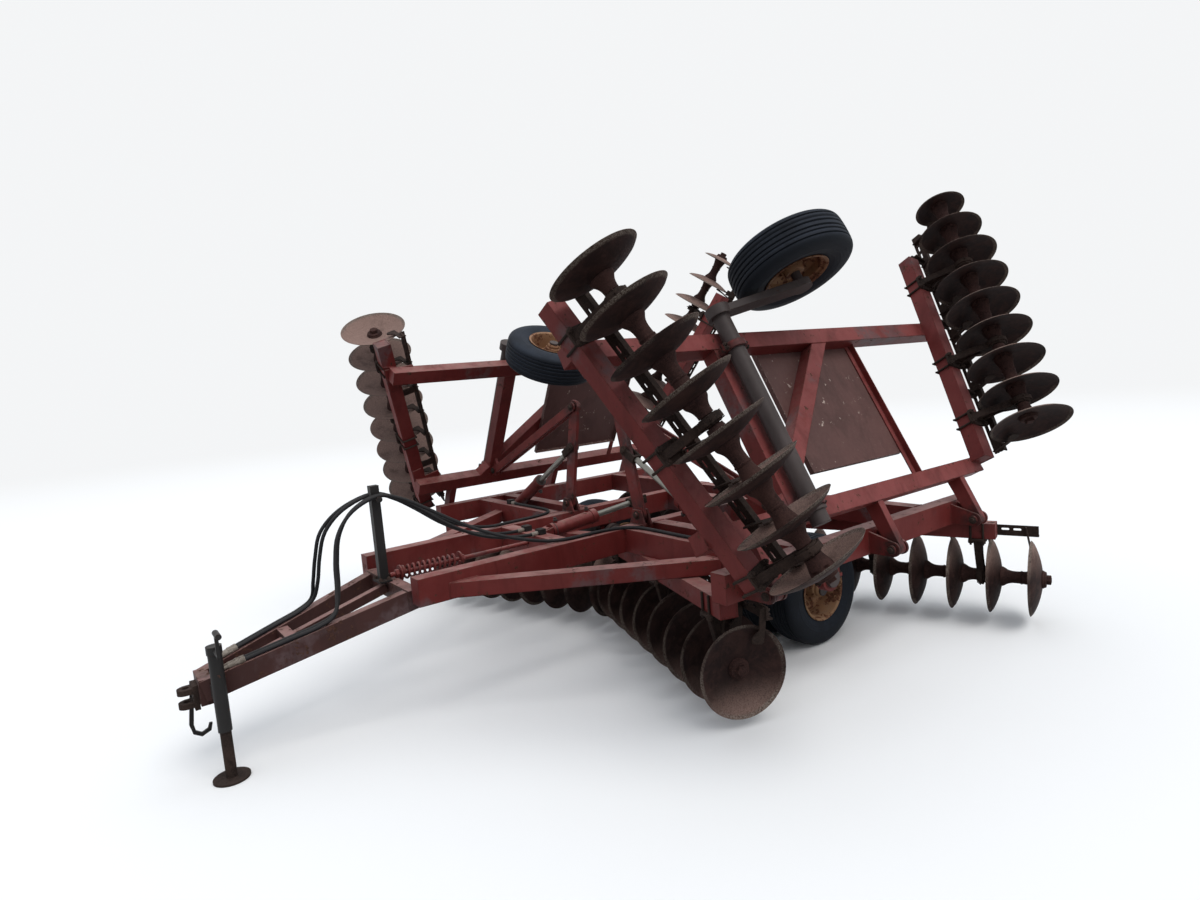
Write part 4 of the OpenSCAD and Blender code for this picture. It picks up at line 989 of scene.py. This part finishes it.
def beam_welds(m, off, x0):
    """Welds along both sides of a level tube at x0 where a gang beam runs under it."""
    lines = []
    for x in (x0 - HALF_TUBE, x0 + HALF_TUBE):
        ends = []
        for v in (-off - HALF_TUBE, -off + HALF_TUBE):
            u = (x - m[0, 3] - m[0, 1] * v) / m[0, 0]
            ends.append((x, m[1, 0] * u + m[1, 1] * v + m[1, 3], FRAME_LOW))
        lines.append(bead(*ends))
    return joined(lines)


def cap_bolts(x, y, reach, half):
    """Bolts down through the ears of a rockshaft bearing, with their nuts."""
    parts = []
    for s in (-1, 1):
        for dx in (-11, 11):
            parts.append(bolt((x + dx, y + s * reach, SHAFT_Z + half), Z_AXIS, 19, shank=6))
            parts.append(bolt((x + dx, y + s * reach, SHAFT_Z - half), -Z_AXIS, 19, shank=8))
    return joined(parts)


def frame_welds():
    """Welds of the left half of the centre frame: the tops of its joints and its beams."""
    inner, outer = INNER_X + HALF_TUBE, RAIL_X - HALF_TUBE
    tops = [(INNER_X - HALF_TUBE, y) for y in (-1340, 200, 560)]
    tops += [(x, y) for x in (inner, outer) for y in (560, -880, -640)]
    lines = [bead_across(x, y, FRAME_TOP, 48) for x, y in tops]
    lines.append(bead((inner, -2154, 760), (inner, -1979, 760)))
    lines.append(bead((inner, -2154, 676), (inner, -2154, 760)))
    lines.append(bead((1174, -930, 760), (1295, -930, 760)))
    lines += [beam_welds(CENTRE_FRONT, BEAM_FRONT, INNER_X), beam_welds(CENTRE_REAR, BEAM_REAR, INNER_X),
              beam_welds(CENTRE_REAR, BEAM_REAR, RAIL_X)]
    for y in HINGE_YS:
        for d in (-31, 31):
            lines.append(bead((RAIL_X + HALF_TUBE, y + d, 684), (RAIL_X + HALF_TUBE, y + d, 800), 4))
    foot = LEVER_FOOT[0]
    for d in (-35.1, 35.1):
        lines.append(bead((foot - 70, LEVER_Y + d, FRAME_TOP), (foot + 70, LEVER_Y + d, FRAME_TOP), 4))
    return lines


def wing_welds():
    """Welds of the left wing, seen level: beams under tubes, and the cross tubes' faces."""
    tubes = (WING_IN_X, WING_OUT_X)
    lines = [beam_welds(at_front(FRONT_X1), BEAM_FRONT, x) for x in tubes]
    lines += [beam_welds(at_rear(REAR_X1), BEAM_REAR, x) for x in tubes]
    faces = (WING_IN_X + HALF_TUBE, WING_OUT_X - HALF_TUBE)
    lines += [bead_across(x, LEVER_Y, z, 48) for z in (FRAME_LOW, FRAME_LOW + 100) for x in faces]
    lines += [bead_across(x, np.interp(x, tubes, BRACE_YS), FRAME_LOW + 4, 68) for x in faces]
    x = WING_IN_X - HALF_TUBE - 1
    for y in HINGE_YS:
        for d in (-26, 26):
            lines.append(bead((x, y + d, 678), (x, y + d, 762), 4))
    return [line.moved(FOLDED) for line in lines]


def hose_end(p, q):
    """Hexagon and crimped sleeve over the end p of a hose that comes from q."""
    sleeve = [(11, 0), (11, 12), (13, 14.4), (20, 14.4), (22, 13), (24, 14.4), (31, 14.4), (33, 13),
              (35, 14.4), (45, 14.4), (47, 12.5), (47, 0)]
    m = along(p, np.subtract(q, p))
    return joined([hex_nut((0, 0, 0), X_AXIS, 27, 12), lathe(sleeve, 20)]).moved(m)


# Base pin, rod pin, barrel's length, ports along it and the side they are on, start of the
# rod's bright skin and how far it ends from the rod pin
FOLD_CYLINDER = (CYLINDER_AT, LEVER_PIN, 562, (84, 500), -1, 545, 112)
LIFT_CYLINDER = (LIFT_BASE, CRANK_TOP, 400, (78, 338), 1, 345, 109)


def cylinder_shapes(base, eye, length, ports, out, first, gap):
    """Weld and gland rings and port fittings of a barrel, and the chromed skin of its rod."""
    t = np.linspace(0, 2 * np.pi, 10, endpoint=False)
    parts = [lathe(np.stack([55 + 4.5 * np.cos(t), 46 + 4.5 * np.sin(t)], -1), 40)]
    gland = [(0, 22), (0, 44), (5, 42), (5, 34), (9, 32), (9, 22)]
    parts.append(lathe(gland, 40).moved(shift(length, 0, 0)))
    for x in ports:
        parts.append(hex_nut((x, 0, out * 56), (0, 0, out), 30, 12))
        parts.append(hex_nut((x, 0, out * 67), (0, 0, out), 22, 14))
    last = float(np.linalg.norm(eye - base)) - gap
    skin = lathe([(first, 18), (first, 20.4), (last, 20.4), (last, 18)], 40)
    m = along(base, eye - base)
    return [part.moved(m) for part in parts], skin.moved(m)


def side_pieces():
    """Name, shapes on the left, body, finish and slot of each piece that both sides have."""
    iron = ("rusty iron", "iron")
    for section, row, m, count, bearings, out, off, _ in GANGS:
        parts = [hanger_hardware(m, bearings, out, off), scraper_bolts(m, count, out, off)]
        yield f"{section}_{row}_bolts", parts, "chassis" if section == "centre" else "wing", *iron
    yield "frame_welds", frame_welds(), "chassis", "frame paint", "red"
    yield "wing_welds", wing_welds(), "wing", "frame paint", "red"
    bolts = [cap_bolts(x, SHAFT_Y, 87, 10) for x in (INNER_X, RAIL_X)]
    for y in HINGE_YS:
        bolts += pin_ends((HINGE_X, y, HINGE_Z), Y_AXIS, 62, 14)
    bolts += pin_ends(LEVER_FOOT, Y_AXIS, 34, 18, 20)
    bolts += [bolt((43, y, 752.2), Z_AXIS, 19, shank=6) for y in (-2388, -2340)]
    yield "frame_bolts", bolts, "chassis", *iron
    caps = [cap_bolts(x, WING_SHAFT_Y, 79, 9).moved(FOLDED) for x in COLLAR_XS]
    yield "wing_bolts", caps, "wing", *iron
    pins = pin_ends(LUG_AT, Y_AXIS, 42, 16) + pin_ends(LEVER_TOP, Y_AXIS, 40, 15)
    yield "link_pins", pins, "link", *iron
    yield "rod_pins", pin_ends(LEVER_PIN, Y_AXIS, 32, 17), "fold_rod", *iron
    fittings, skin = cylinder_shapes(*FOLD_CYLINDER)
    yield "fold_fittings", fittings, "fold_barrel", "shaft paint", "dark"
    yield "fold_chrome", [skin], "fold_rod", "chromed rod", "bare"


class HARROW_OT_hardware(bpy.types.Operator):
    """Build the nuts, bolts, pins, welds and fittings"""

    bl_idname = "harrow.hardware"
    bl_label = "Hardware"

    def execute(self, context):
        made = finishes()
        for name, parts, body, finish, slot in side_pieces():
            for side, mirror in SIDES:
                place(f"{side}_{name}", joined(parts).moved(mirror),
                      body if body == "chassis" else f"{side}_{body}", made[finish], slot)
        fittings, skin = cylinder_shapes(*LIFT_CYLINDER)
        place("lift_fittings", joined(fittings), "lift_barrel", made["shaft paint"], "dark")
        place("lift_chrome", skin, "lift_rod", made["chromed rod"], "bare")
        pins = joined(pin_ends(CRANK_TOP, X_AXIS, 34, 18))
        place("lift_pins", pins, "lift_rod", made["rusty iron"], "iron")
        ends = []
        for node, side, points in HOSES:
            route = hose_route(side, points)
            ends += [hose_end(route[0], route[1]), hose_end(route[-1], route[-2])]
        place("hose_sleeves", joined(ends), "chassis", made["plated steel"], "bare")
        return {"FINISHED"}


class HARROW_OT_spring(bpy.types.Operator):
    """Build the levelling rod and its coil spring"""

    bl_idname = "harrow.spring"
    bl_label = "Levelling spring"

    def execute(self, context):
        turns, pitch, radius, start, z = 11, 32.0, 36.0, -2244.0, 762.0
        a = np.linspace(0, 2 * np.pi * turns, turns * 28)
        coil = [radius * np.cos(a), start + pitch * a / (2 * np.pi), z + radius * np.sin(a)]
        parts = [tube(np.stack(coil, -1), 7, 10), tube([(0, -2318, z), (0, -1392, z)], 14, 24)]
        seat = lathe([(0, 0), (0, 46), (2, 48), (10, 48), (12, 46), (12, 0)], 40)
        parts += [seat.moved(along((0, y, z), Y_AXIS)) for y in (-2262, -1882)]
        nut = stub(0, 22, 27, 2, 24, 6)
        parts += [nut.moved(along((0, y, z), (0, d, 0))) for y, d in ((-1869, 1), (-2263, -1))]
        place("level_rod_spring", joined(parts), "chassis", finishes()["frame paint"], "red",
              replaces=("level_rod",))
        return {"FINISHED"}


# Camera, lamps and floor

# The photo's camera, fitted to the rims of the blades, in metres and pixels of the photo
CAMERA_AT = (4.074, -2.948, 1.833)
CAMERA_AHEAD = (-0.804, 0.5849, -0.1075)
CAMERA_UP = (-0.0383, 0.1293, 0.9909)
FOCAL, PHOTO_WIDTH, SENSOR = 727.65, 1200, 36.0
# Colour of the backdrop and of the floor far away
BACKDROP = (0.905, 0.915, 0.925, 1)
# The floor fades into the backdrop between these distances
FADE = (6, 26)
FLOOR_SEEN, FLOOR_LIT = (0.925, 0.93, 0.935), (0.20, 0.20, 0.19)
SKY_LOW, SKY_HIGH = (0.36, 0.37, 0.385), (1.05, 1.10, 1.16)


def photo_camera():
    """A camera where the photo was taken."""
    data = bpy.data.cameras.new("photo view")
    data.sensor_width = SENSOR
    data.lens = FOCAL / PHOTO_WIDTH * SENSOR
    data.clip_start, data.clip_end = 0.05, 400
    ahead = Vector(CAMERA_AHEAD).normalized()
    right = ahead.cross(Vector(CAMERA_UP)).normalized()
    turned = Matrix((right, right.cross(ahead), -ahead)).transposed().to_4x4()
    camera = bpy.data.objects.new("photo view", data)
    camera.matrix_world = Matrix.Translation(CAMERA_AT) @ turned
    return camera


def pale_floor():
    """A round floor, just under the machine, that fades into the backdrop.

    It is dull to the light that it throws back, so that undersides stay dark."""
    mesh = bpy.data.meshes.new("floor")
    angles = np.linspace(0, 2 * np.pi, 64, endpoint=False)
    corners = [(90 * math.cos(a), 90 * math.sin(a), -0.001) for a in angles]
    mesh.from_pydata(corners, [], [list(range(len(corners)))])
    f = Finish("pale floor")
    diffuse_ray = f.node("ShaderNodeLightPath").outputs["Is Diffuse Ray"]
    f.link(f.mix(diffuse_ray, FLOOR_SEEN, FLOOR_LIT), f.shader.inputs["Base Color"])
    f.shader.inputs["Roughness"].default_value = 0.95
    f.shader.inputs["Specular IOR Level"].default_value = 0.1
    away = f.node("ShaderNodeVectorMath", operation="LENGTH")
    f.link(f.coords, away.inputs[0])
    far = f.sum(f.ramp(away.outputs["Value"], *FADE), diffuse_ray, "SUBTRACT")
    haze = f.node("ShaderNodeEmission")
    haze.inputs["Color"].default_value = BACKDROP
    result = f.blend(far, f.shader.outputs["BSDF"], haze.outputs["Emission"])
    f.link(result, f.tree.nodes["Material Output"].inputs["Surface"])
    mesh.materials.append(f.material)
    return bpy.data.objects.new("floor", mesh)


def soft_world():
    """Light of an even sky, brighter overhead; the camera and reflections see the backdrop."""
    world = bpy.data.worlds.new("soft studio")
    world.use_nodes = True
    w = Nodes(world.node_tree)
    light = w.tree.nodes["Background"]
    light.inputs["Strength"].default_value = 1.0
    height = w.part(w.node("ShaderNodeTexCoord").outputs["Generated"], "Z")
    w.link(w.mix(height, SKY_LOW, SKY_HIGH), light.inputs["Color"])
    shown = w.node("ShaderNodeBackground")
    shown.inputs["Color"].default_value = BACKDROP
    rays = w.node("ShaderNodeLightPath").outputs
    seen = w.sum(rays["Is Camera Ray"], rays["Is Glossy Ray"], "MAXIMUM")
    seen = w.sum(seen, rays["Is Transmission Ray"], "MAXIMUM")
    result = w.blend(seen, light.outputs["Background"], shown.outputs["Background"])
    w.link(result, w.tree.nodes["World Output"].inputs["Surface"])
    return world


def overcast_sun():
    """A wide, weak sun, high on the machine's left."""
    sun = bpy.data.lights.new("overcast sun", "SUN")
    sun.energy, sun.angle, sun.color = 1.15, math.radians(40), (1.0, 0.97, 0.93)
    lamp = bpy.data.objects.new("overcast sun", sun)
    lamp.rotation_mode = "QUATERNION"
    lamp.rotation_quaternion = Vector((-0.52, -0.05, -0.85)).to_track_quat("-Z", "Y")
    return lamp


class HARROW_OT_stage(bpy.types.Operator):
    """Set up the camera, the soft lamps and the pale floor"""

    bl_idname = "harrow.stage"
    bl_label = "Stage"

    def execute(self, context):
        scene = context.scene
        scene.view_settings.view_transform = "Standard"
        scene.world = soft_world()
        scene.camera = photo_camera()
        floor = pale_floor()
        for thing in (scene.camera, floor, overcast_sun()):
            scene.collection.objects.link(thing)
        return {"FINISHED"}


STEPS = (HARROW_OT_stage, HARROW_OT_frame, HARROW_OT_gangs, HARROW_OT_wheels, HARROW_OT_hoses,
         HARROW_OT_spring, HARROW_OT_hardware)


class HARROW_PT_panel(bpy.types.Panel):
    """Buttons that build the harrow's looks"""

    bl_label = "Disc Harrow"
    bl_space_type = "VIEW_3D"
    bl_region_type = "UI"
    bl_category = "Disc Harrow"

    def draw(self, context):
        for group in (context.scene.harrow_sizes, context.scene.harrow_finish):
            for key in type(group).__annotations__:
                self.layout.prop(group, key)
        for step in STEPS:
            self.layout.operator(step.bl_idname)


CLASSES = (HarrowSizes, HarrowFinish, *STEPS, HARROW_PT_panel)


def register():
    for cls in CLASSES:
        bpy.utils.register_class(cls)
    bpy.types.Scene.harrow_sizes = PointerProperty(type=HarrowSizes)
    bpy.types.Scene.harrow_finish = PointerProperty(type=HarrowFinish)


def unregister():
    del bpy.types.Scene.harrow_finish
    del bpy.types.Scene.harrow_sizes
    for cls in reversed(CLASSES):
        bpy.utils.unregister_class(cls)


def main():
    register()
    for step in STEPS:
        group, name = step.bl_idname.split(".")
        getattr(getattr(bpy.ops, group), name)()


if __name__ == "__main__":
    main()
